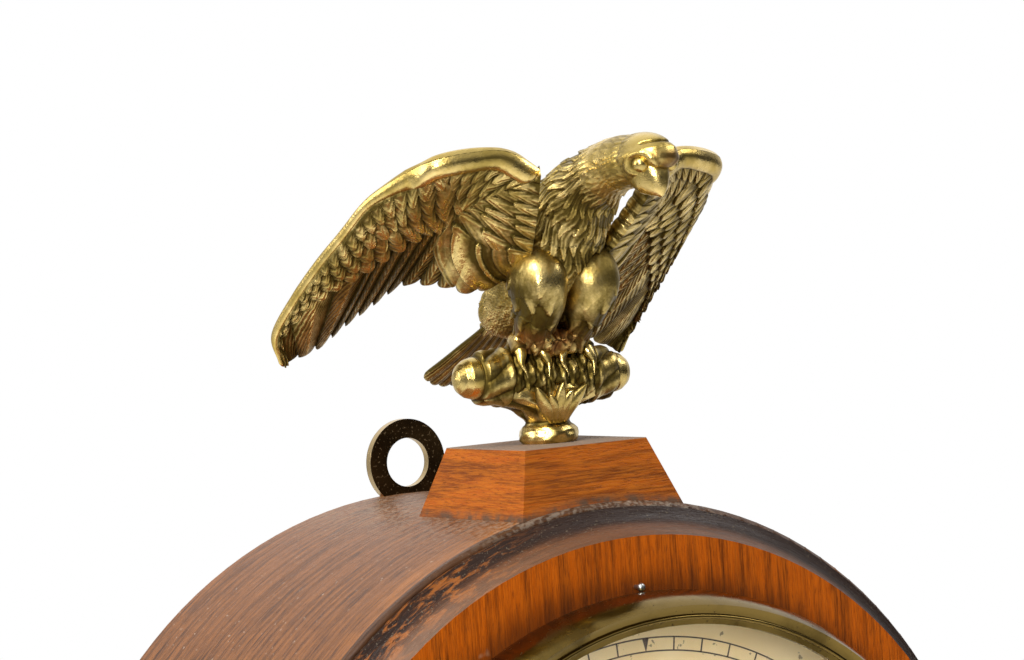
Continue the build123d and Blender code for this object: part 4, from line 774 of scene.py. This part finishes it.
def add_trunk(casting):
    """body and neck: shaggy tiers on the breast, fine strokes on the neck, a stippled rump"""
    count, columns = MESH["trunk"]
    rows = along([(0,) + row for row in TRUNK[::-1]], even(count))
    points, outward, turn = tube(rows, columns)
    down = run_of(rows[:, :3])[:, None] + 0 * turn
    around = turn / (2 * pi) + 0.014 * sin(down * 0.55 + 3 * turn)
    small = locks(down, around, *NECK_LOCKS)
    large = locks(down + 1.1 * sin(turn * 5), around, *BREAST_LOCKS)
    breast, rump = smooth(*BREAST_AT, down), smooth(*RUMP_AT, down)
    height = small[0] * (1 - breast) + large[0] * breast
    relief = (0.16 + 1.05 * breast) * (1 - 0.75 * rump)
    across, share, cut = over(breast > 0.5, (large[1] * 0.75, large[2] * 1.6, 1),
                              (small[1] * 0.6, small[2] * 1.2, 0.2))
    stipple = 0.26 * rump * sin(down * 7 + sin(turn * 40)) * sin(turn * 60 + sin(down * 5))
    grid = points + outward * ((height - 0.6) * relief + stipple)[..., None]
    deep = (0.08 + 0.68 * (1 - height)) * (0.5 + 0.5 * breast) * (1 - 0.6 * rump) + 0.1 * rump
    casting.sheet(grid, deep, engraved=cut * (1 - 0.8 * rump), down=share, across=across)


def egg(middle, halves, rows, columns):
    """points and outward directions of an egg whose ends lie front and back"""
    lift = np.linspace(-0.5 * pi, 0.5 * pi, rows)[:, None]
    turn = full_turn(columns)[None, :]
    ball = [cos(lift) * cos(turn), sin(lift) + 0 * turn, cos(lift) * sin(turn)]
    ball = np.stack(ball, axis=-1)
    return np.array(middle) + ball * np.array(halves), unit(ball / np.array(halves)), turn


def add_head(casting):
    """the skull: a brow ridge over each rimmed eye, a smooth cere in front and fine strokes behind"""
    grid, outward, turn = egg(*HEAD, *MESH["head"])
    under = np.minimum(grid[..., 2] - HEAD[0][2], 0)
    grid[..., 2] -= 0.45 * under * smooth(-41, -47, grid[..., 1])
    x, y, z = abs(grid[..., 0]), grid[..., 1], grid[..., 2]
    brow_start, brow_height, brow_slope = BROW
    above = z - brow_height - (brow_start - y) * brow_slope
    span = smooth(-36.5, -40, y) * smooth(-51, -48.5, y)
    ridge = bell(above, 0.85) * span * smooth(0.6, 2.2, x)
    crease = bell(above - 1.75, 0.3) * smooth(-44.5, -46, y) * smooth(-49.6, -48.6, y)
    eye, eye_radius = EYE
    tilted = z - eye[2] + 0.18 * (y - eye[1])
    away = np.sqrt(((y - eye[1]) / 1.5) ** 2 + tilted ** 2) + 9 * (x < 1.5)
    rim = bell(away - EYE_RIM, 0.36)
    socket = bell(away, 1.5, 4)
    cere = smooth(-46.8, -48.5, y) * smooth(61.6, 60.4, z)
    back = smooth(-44, -38, y)
    down = y + 50
    height, across, share = locks(down, turn / (2 * pi) + 0.01 * sin(down), *HEAD_LOCKS)
    raised = 0.34 * ridge - 0.4 * crease + 0.24 * rim - 0.8 * socket + 0.3 * cere
    raised = raised + 0.16 * back * (height - 0.6)
    deep = 0.12 + 0.35 * back * (1 - height) + 1.2 * crease + 0.75 * socket
    deep = deep - 0.2 * ridge - 0.3 * rim + 0.22 * cere
    deep = deep + 0.35 * bell(away - EYE_RIM - 0.55, 0.22) * (1 - ridge)
    casting.sheet(grid + outward * raised[..., None], clip(deep, 0, 1), engraved=0.5 * back,
                  copper=0.55 * cere, down=share * 1.2, across=across * 0.8)
    ball = egg(eye, (eye_radius,) * 3, *MESH["eye"])[0]
    for side in (-1, 1):
        casting.sheet(ball, 0, side=side)


def add_feet_mass(casting):
    """the lumpy mass of shins and toes on top of the log"""
    grid, outward, turn = egg(*FEET, *MESH["feet"])
    x, y = grid[..., 0], grid[..., 1]
    lumps = sin(x * 1.25) * cos(y * 1.5) + 0.6 * sin(x * 2.6 + 1) * sin(turn * 3)
    grid = grid + outward * (0.55 * lumps)[..., None]
    casting.sheet(grid, clip(0.45 - 0.4 * lumps, 0, 1), copper=0.95)


def add_beak(casting, table):
    """one half of the beak, with a raised cere at its root and a sharp edge"""
    points, outward, turn, share = form_along(table, *MESH["beak"])
    edge = 0.1 * abs(cos(turn)) ** 8 * (1 - share)
    raised = 0.28 * bell(share - 0.16, 0.09) - edge
    deep = 0.15 + edge + 0.5 * smooth(0.3, 0.16, share)
    casting.sheet(points + outward * raised[..., None], deep)


def add_thigh(casting, side):
    """a feathered leg: glossy above, with a few pointed fringes lower down, darkened all over by painted
    shade
    """
    points, outward, turn, share = form_along(THIGH, *MESH["thigh"])
    down = share * 29 + 0.9 * sin(turn * 4)
    height, across, lie = locks(down, turn / (2 * pi) + 0.012 * sin(down * 0.7), *THIGH_LOCKS)
    shaggy = smooth(0.34, 0.66, share + 0.2 * cos(turn))
    relief = (height - 0.6) * (0.06 + 1.1 * shaggy)
    # the 0.26 laid over the whole thigh is painted shade: darker brass standing in for the dark surroundings
    # it reflects
    deep = (1 - height) * (0.2 + 0.75 * shaggy) + 0.26
    casting.sheet(points + outward * relief[..., None], deep, engraved=0.5 * shaggy,
                  copper=smooth(0.66, 0.85, share), down=lie * 1.3, across=across * 0.8, side=side)


def edge_distance(grid, edge):
    """how far each point lies from a curved edge, and where along it, from 0 to 1 and in millimetres"""
    rim = along(edge, even(240))
    ahead = unit(np.gradient(rim, axis=0))
    run = run_of(rim)
    away, place = np.empty((2,) + grid.shape[:2])
    for row, points in enumerate(grid):
        nearest = np.linalg.norm(points[:, None] - rim[None], axis=-1).argmin(axis=1)
        reach = points - rim[nearest]
        forward = (reach * ahead[nearest]).sum(axis=-1)
        aside = np.linalg.norm(reach - ahead[nearest] * forward[:, None], axis=-1)
        away[row] = np.hypot(aside, where(nearest == 0, np.minimum(forward, 0), 0))
        place[row] = clip(run[nearest] + forward, 0, run[-1])
    return away, place / run[-1], place


def feather_places(feathers, edge):
    """for each row of points: its place across its feather, from -1 to 1, and along the fan, from 0 to 1"""
    spans = [FEATHER_ROWS] * (feathers - 3) + [WING_END_ROWS if edge else FEATHER_ROWS] * 3
    across = np.concatenate([np.linspace(-1, 1, span) for span in spans])
    number = np.repeat(np.arange(feathers), spans)
    order = (number + 0.5 * (across + 1)) / feathers
    if edge:
        across = where(number == feathers - 1, 0.5 * (across - 1), across)
    return across, order


def fan_level(root, tip, order):
    """the direction square to the fan at each row of points"""
    steps = even(90)
    middles = 0.5 * (root(steps) + tip(steps))
    level = unit(np.cross(unit(tip(steps) - root(steps)), unit(np.gradient(middles, axis=0))))
    level[-12:] = level[-13]
    return unit(np.stack([np.interp(order, steps, column) for column in level.T], axis=-1))[:, None]


def lay_coverts(layers, coverts, levels, tone, sweep, below, place, run):
    """rows of short feathers over the long ones, each row laying a painted shadow just below its edge; layers
    are those that fan names
    """
    short = 1 - 0.9 * smooth(*COVERT_END, place)
    for row, (first, final, wide) in enumerate(coverts):
        line = (run - sweep * (below - first)) / wide + 0.5 * (row % 2)
        turn = 2 * np.mod(line, 1) - 1
        longer = 0.95 + 0.1 * chance(np.floor(line) * 78.2 + row * 12.9)
        limit = short * (final * longer - 0.4 * (final - first) * turn ** 2)
        lie = clip((below - first * short) / np.maximum(limit - first * short, 0.1), 0, 1)
        dome = (1 - 0.65 * turn ** 2) * (0.4 + 0.6 * lie)
        dark = tone + 0.8 - dome + 0.45 * smooth(0.2, 0, lie)
        new = (levels[row + 1] + 0.8 * dome, dark, 0.72, lie * 5, turn * (0.75 + 0.35 * lie), 0)
        height, deep, *others = layers
        # below each row's edge, 0.55 * bell(below - limit, 0.45) adds a painted shadow to the feathers
        # beneath
        layers = over(below < limit, new, (height, deep + 0.55 * bell(below - limit, 0.45), *others))
    return layers


def fan(casting, root, tip, feathers, coverts, levels, roll, camber, notch, lap, tone, strokes, sweep=0,
        edge=None, side=1):
    """lapping feathers between two rows of points, under rows of shorter ones and a rolled edge"""
    across, order = feather_places(feathers, edge)
    level = fan_level(root, tip, order)
    start, end = root(order)[:, None], tip(order)[:, None]
    share = even(FEATHER_COLUMNS)[None, :]
    q = across[:, None]
    ray = end - start
    length = np.linalg.norm(ray, axis=-1)
    reach = 1 - notch * abs(q) ** 3
    base = start + ray * (share * reach)[..., None]
    base = base + level * (camber * np.minimum(length / 24, 1) * 4 * share * (1 - share))[..., None]
    if edge:
        away, place, run = edge_distance(base, edge)
        covert_places = edge_distance(base, COVERT_LINE)
    else:
        away, place = share * length, order[:, None] + 0 * share
        run = np.full_like(away, ROLL_END)
        covert_places = away, 0 * place, place
    ridge = bell(q, 0.09)
    height = levels[0] * (1 - 0.45 * q ** 2) + 0.14 * ridge
    deep = tone + 0.25 + 0.4 * abs(q) ** 3 - 0.4 * ridge + 0 * share
    layers = (height, deep, strokes, share * length, q * 1.5, smooth(0.3, 0.6, share))
    layers = lay_coverts(layers, coverts, levels, tone, sweep, *covert_places)
    height, deep, stroke, down, sideways, flight = layers
    lift = lap * q * flight
    radius = roll[0] + (roll[1] - roll[0]) * smooth(0.22, 0.5, place)
    radius = radius * where(run < ROLL_END, arch((1 - run / ROLL_END) ** 2), 1)
    some = np.maximum(radius, 0.01)
    rounded = arch(((away - radius) / some) ** 2) * radius
    shade = 0.03 + 0.5 * smooth(1.35, 1.55, away / some)
    rolled = over(away < 1.55 * radius, (rounded, 0, shade, 0), (height, lift, deep, stroke))
    height, lift, deep, stroke = rolled
    height = height * arch(share ** 24)
    height[0], height[-1] = 0, 0
    for face in (1, -1):
        grid = base + level * (lift + face * height)[..., None]
        grid, dark, cut, below, beside = [each[:, ::face] for each in (grid, deep, stroke, down, sideways)]
        casting.sheet(grid, clip(dark, 0, 1), cut, down=below, across=beside, ring=False, side=side)


def add_wing(casting, side):
    """a raised wing: smooth rolled edge, four rows of coverts and swept flight feathers"""
    outer = 1 - 3 / WING["feathers"]

    def root(order):
        inner = 0.45 * np.minimum(order, outer) ** 1.25
        return along(LEADING_EDGE, inner + (1 - 0.45 * outer ** 1.25) * smooth(outer, 1, order))

    fan(casting, root, lambda order: along(TRAILING_EDGE, order ** 0.85), side=side, **WING)


def add_log(casting):
    """the rough turned log with its rings, cups and ball ends"""
    half = np.array(LOG_PROFILE)
    count, columns = MESH["log"]
    x, radius = turned(np.vstack([half, (half * (-1, 1))[-2::-1]]), count)
    turn = full_turn(columns)
    bark = smooth(11.3, 10.4, abs(x))
    knots = sin(x * 1.7 + sin(turn * 3) * 1.3) * sin(turn * 4 + x * 0.6)
    knots = (knots + 0.5 * sin(x * 3.9 + turn * 5) * sin(turn * 9 - x)) * bark
    cup = smooth(17.3, 16.8, abs(x)) * (1 - bark)
    petals = abs(sin(turn * 3 + 0.4 * x))
    swell = radius + 0.6 * knots + cup * (0.9 * petals ** 0.6 - 0.55)
    grid = np.stack([x + 0 * turn, swell * cos(turn), LOG_HEIGHT + swell * sin(turn)], axis=-1)
    creases = bell(abs(x) - 17.35, 0.3) + 0.7 * bell(abs(x) - 10.2, 0.5)
    deep = clip(0.02 + bark * 0.75 - knots * 0.3 + cup * (0.85 - 0.6 * petals) + creases, 0, 1)
    casting.sheet(grid, deep, engraved=0.12 * bark, down=x, across=turn * 2)


def add_claw(casting, x, ankle):
    """one toe over the log, with its knuckles and pointed talon"""
    count, columns = MESH["claw"]
    share = even(count)
    bend = np.radians(118 - 120 * share)
    reach = 7.3 + 0.5 * sin(share * pi) + 0.9 * smooth(0.8, 1, share)
    curl = 0.7 * np.sign(x - ankle) * sin(smooth(0.6, 1, share) * pi)
    aside = ankle + (x - ankle) * smooth(0, 0.55, share) + curl
    knuckles = 1 + 0.14 * cos(share * 2 * pi * 3.2)
    radius = where(share < 0.6, 1.75 * knuckles, 1.4 * (1 - smooth(0.56, 1, share) * 0.9))
    rows = np.column_stack([aside, -reach * cos(bend), LOG_HEIGHT + reach * sin(bend), radius, radius])
    points, outward, turn = tube(rows, columns)
    share, knuckles = share[:, None], knuckles[:, None]
    toe = 1 - smooth(0.58, 0.66, share)
    deep = 0.02 + 0.28 * toe + bell(share - 0.6, 0.02) + 0.9 * (1 - knuckles) * toe
    casting.sheet(points, clip(deep, 0, 1), copper=0.35 * toe)


def add_frond(casting, x, z):
    """one leaf that climbs from the waist of the foot over the front of the log"""
    count, columns = MESH["frond"]
    share = even(count)
    path = ((0.25 * x + 0.5, -4.6, 4.6), (0.45 * x, -6, 7.6), (0.8 * x, -7.1, 0.5 * (z + 8.6)), (x, -7.9, z))
    wide = 1.6 * sin(pi * clip(share * 0.93 + 0.07, 0, 1)) ** 0.7
    points, outward, turn = tube(np.column_stack([along(path, share), wide, 0.35 + 0.5 * wide]), columns)
    casting.sheet(points, 0.05 + 0.55 * abs(cos(turn)) ** 4)


def add_foot(casting):
    """the bulging round foot, the waist and the flare of leaves that carries the log"""
    count, columns = MESH["foot"]
    radius, z = turned(np.array(FOOT_PROFILE), count)
    turn = full_turn(columns)
    leafy = smooth(4.6, 6.5, z) * (z < 12.7)
    leaf = abs(cos(turn * FOOT_LEAVES / 2))
    swell = radius * (1 + leafy * (0.14 * leaf ** 0.7 - 0.08)) + 0.25 * leafy * bell(leaf - 1, 0.06)
    flare = smooth(7, 10.4, z)
    shift = FOOT_SHIFT * smooth(7, 4, z)
    dents = 0.12 * sin(turn * 5 + 1) * sin(z * 1.9) + 0.1 * sin(turn * 9 + sin(z * 2))
    out = swell + dents
    grid = np.stack([shift + out * (1 + 0.85 * flare) * cos(turn),
                     out * (1 - 0.27 * flare) * sin(turn), z + 0 * turn], axis=-1)
    deep = 0.15 + leafy * (0.8 - 0.7 * leaf) + 0.7 * bell(z - 4.5, 0.6) + 2 * dents
    casting.sheet(grid, clip(deep, 0, 1), engraved=0.1 * leafy, down=z, across=turn * 5)


def cast_brass():
    """old cast brass: dark olive in the hollows, bright on the crests, coppery on the shins; the deep mark
    also holds painted shade under the coverts, behind the wing's rolled edge and over the thighs
    """
    finish = Finish("aged cast brass", Metallic=1)
    place = finish.place
    deep, engraved, copper, down, across = [finish.attribute(mark) for mark in Casting.MARKS]
    shake = place.noise(700, 2) * 3.2
    barbs = ((down + abs(across) * 2.2) * 2.6 + shake).maths("SINE") * 0.5 + 0.5
    long_strokes = (across * 9.5 + shake).maths("SINE") * 0.5 + 0.5
    long_part = engraved.between(0.8, 0.95)
    cuts = (barbs * (1 - long_part) + long_strokes * long_part) * engraved.between(0.05, 0.55)
    film = place.noise(140, 5, 0.65, 0.3).between(0.34, 0.66)
    grain = place.noise(1600, 3, 0.6)
    dark = (deep * 1.15 + cuts * 0.26 + film * 0.34 + grain * 0.4 - 0.32).between(0.05, 0.95)
    patches = place.noise(48, 3).between(0.42, 0.66)
    base = layered(film.blend(*CREST_BRASS), (patches * 0.7, (0.4, 0.29, 0.07)), (dark, (0.1, 0.068, 0.014)),
                   (copper * film * 0.75, (0.3, 0.12, 0.04)))
    return finish.done(base, 0.22 + dark * 0.2 + film * 0.08, grain * 0.4 - cuts * 0.6 + film * 0.15, 0.00018)


def eagle_finial():
    """the whole casting, which stands for the plain solid"""
    casting = Casting()
    add_trunk(casting)
    add_head(casting)
    add_beak(casting, UPPER_BEAK)
    add_beak(casting, LOWER_BEAK)
    for side in (-1, 1):
        add_wing(casting, side)
        add_thigh(casting, side)
    add_feet_mass(casting)
    fan(casting, partial(along, TAIL_ROOT), partial(along, TAIL_TIP), **TAIL)
    add_log(casting)
    for x, ankle in CLAWS:
        add_claw(casting, x, ankle)
    casting.lean()
    for x, z in FRONDS:
        add_frond(casting, x, z)
    add_foot(casting)
    plinth_low, plinth_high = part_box("finial_plinth")
    foot = (0, 0.5 * (plinth_low[1] + plinth_high[1]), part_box("eagle_finial")[0][2])
    made = casting.pour("eagle_casting", foot)
    made.data.materials.append(cast_brass())
    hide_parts("eagle_finial")
    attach(made, "case")


# The photo's camera and a plain studio

# Degrees of turn, tilt and roll, the place in metres, and lens and sensor in millimetres
CAMERA_ANGLES = (-33.09, 1.815, -3.859)
CAMERA_PLACE = (-0.4323, -0.71318, 0.16232)
LENS, SENSOR_WIDTH = 126.5625, 36
# Soft boxes: place, what it is aimed at, width, height and power
SOFT_BOXES = {
    "box above left": ((-0.9, -0.5, 1.1), (0, -0.06, 0.1), 0.6, 0.5, 22),
    "box behind left": ((-1.1, 0.45, 0.5), (0, -0.05, 0.1), 0.7, 0.7, 6),
    "box by the camera": ((-1.15, -1, 0.55), (0, -0.08, 0.05), 0.4, 0.5, 14),
    "box right": ((0.9, -0.4, 0.9), (0, -0.06, 0.1), 0.3, 0.5, 3),
}
FLOOR_SIZE, FLOOR_HEIGHT = 8, -0.9
FLOOR_GREYS = ((0.8, 0.8, 0.8), (0.83, 0.83, 0.83))


def photo_camera():
    """a long lens from the left front, turned a little"""
    turn, tilt, roll = (math.radians(angle) for angle in CAMERA_ANGLES)
    forward = Vector((-math.sin(turn) * math.cos(tilt), math.cos(turn) * math.cos(tilt), -math.sin(tilt)))
    level = forward.cross(Vector((0, 0, 1))).normalized()
    above = level.cross(forward)
    right = level * math.cos(roll) + above * math.sin(roll)
    up = above * math.cos(roll) - level * math.sin(roll)
    lens = bpy.data.cameras.new("photo camera")
    lens.lens, lens.sensor_width, lens.clip_start = LENS, SENSOR_WIDTH, 0.01
    camera = placed("photo camera", lens)
    camera.matrix_world = Matrix((right, up, -forward)).transposed().to_4x4()
    camera.location = CAMERA_PLACE
    bpy.context.scene.camera = camera


def soft_light(name, place, aim, width, height, power):
    """one rectangular soft box"""
    lamp = bpy.data.lights.new(name, "AREA")
    lamp.shape = "RECTANGLE"
    lamp.size, lamp.size_y, lamp.energy = width, height, power
    held = placed(name, lamp)
    held.location = place
    held.rotation_euler = (Vector(aim) - Vector(place)).to_track_quat("-Z", "Y").to_euler()


def surroundings():
    """white for the camera, a grey that varies with direction for the light on the clock"""
    world = bpy.data.worlds.new("studio")
    bpy.context.scene.world = world
    world.use_nodes = True
    tree = world.node_tree
    ground = tree.nodes["Background"]
    rays = tree.nodes.new("ShaderNodeLightPath")
    way = Value(tree.nodes.new("ShaderNodeTexCoord").outputs["Generated"])
    high = way.part(2).between(0.1, 0.9)
    behind = way.part(1).between(-0.15, 0.75)
    left = (0 - way.part(0)).between(-0.2, 0.9)
    away = way.part(0).between(-0.55, 0.5) * behind
    level = 0.03 + high * 0.75 + behind * 0.32 + away * 0.65 + left * 0.12
    seen = Value(rays.outputs["Is Camera Ray"]).maths("MAXIMUM", Value(rays.outputs["Is Transmission Ray"]))
    strength = level * (1 - seen) + seen
    tree.links.new(strength.socket, ground.inputs["Strength"])
    ground.inputs["Color"].default_value = WHITE


def studio():
    """surroundings, soft boxes and a pale floor"""
    surroundings()
    for name, settings in SOFT_BOXES.items():
        soft_light(name, *settings)
    bpy.ops.mesh.primitive_plane_add(size=FLOOR_SIZE, location=(0, 0, FLOOR_HEIGHT))
    floor = bpy.context.object
    floor.name = "pale floor"
    finish = Finish("pale floor", Roughness=0.9)
    finish.set("Base Color", finish.place.noise(3).blend(*FLOOR_GREYS))
    floor.data.materials.append(finish.material)
    bpy.context.scene.view_settings.view_transform = "Standard"


# Turned steel, unless a later line gives a piece another finish
paint(" ".join(frame["nodes"]), steel("turned steel", TURNED_STEEL))
finish_the_case()
finish_the_metal()
dial_printing()
eagle_finial()
photo_camera()
studio()
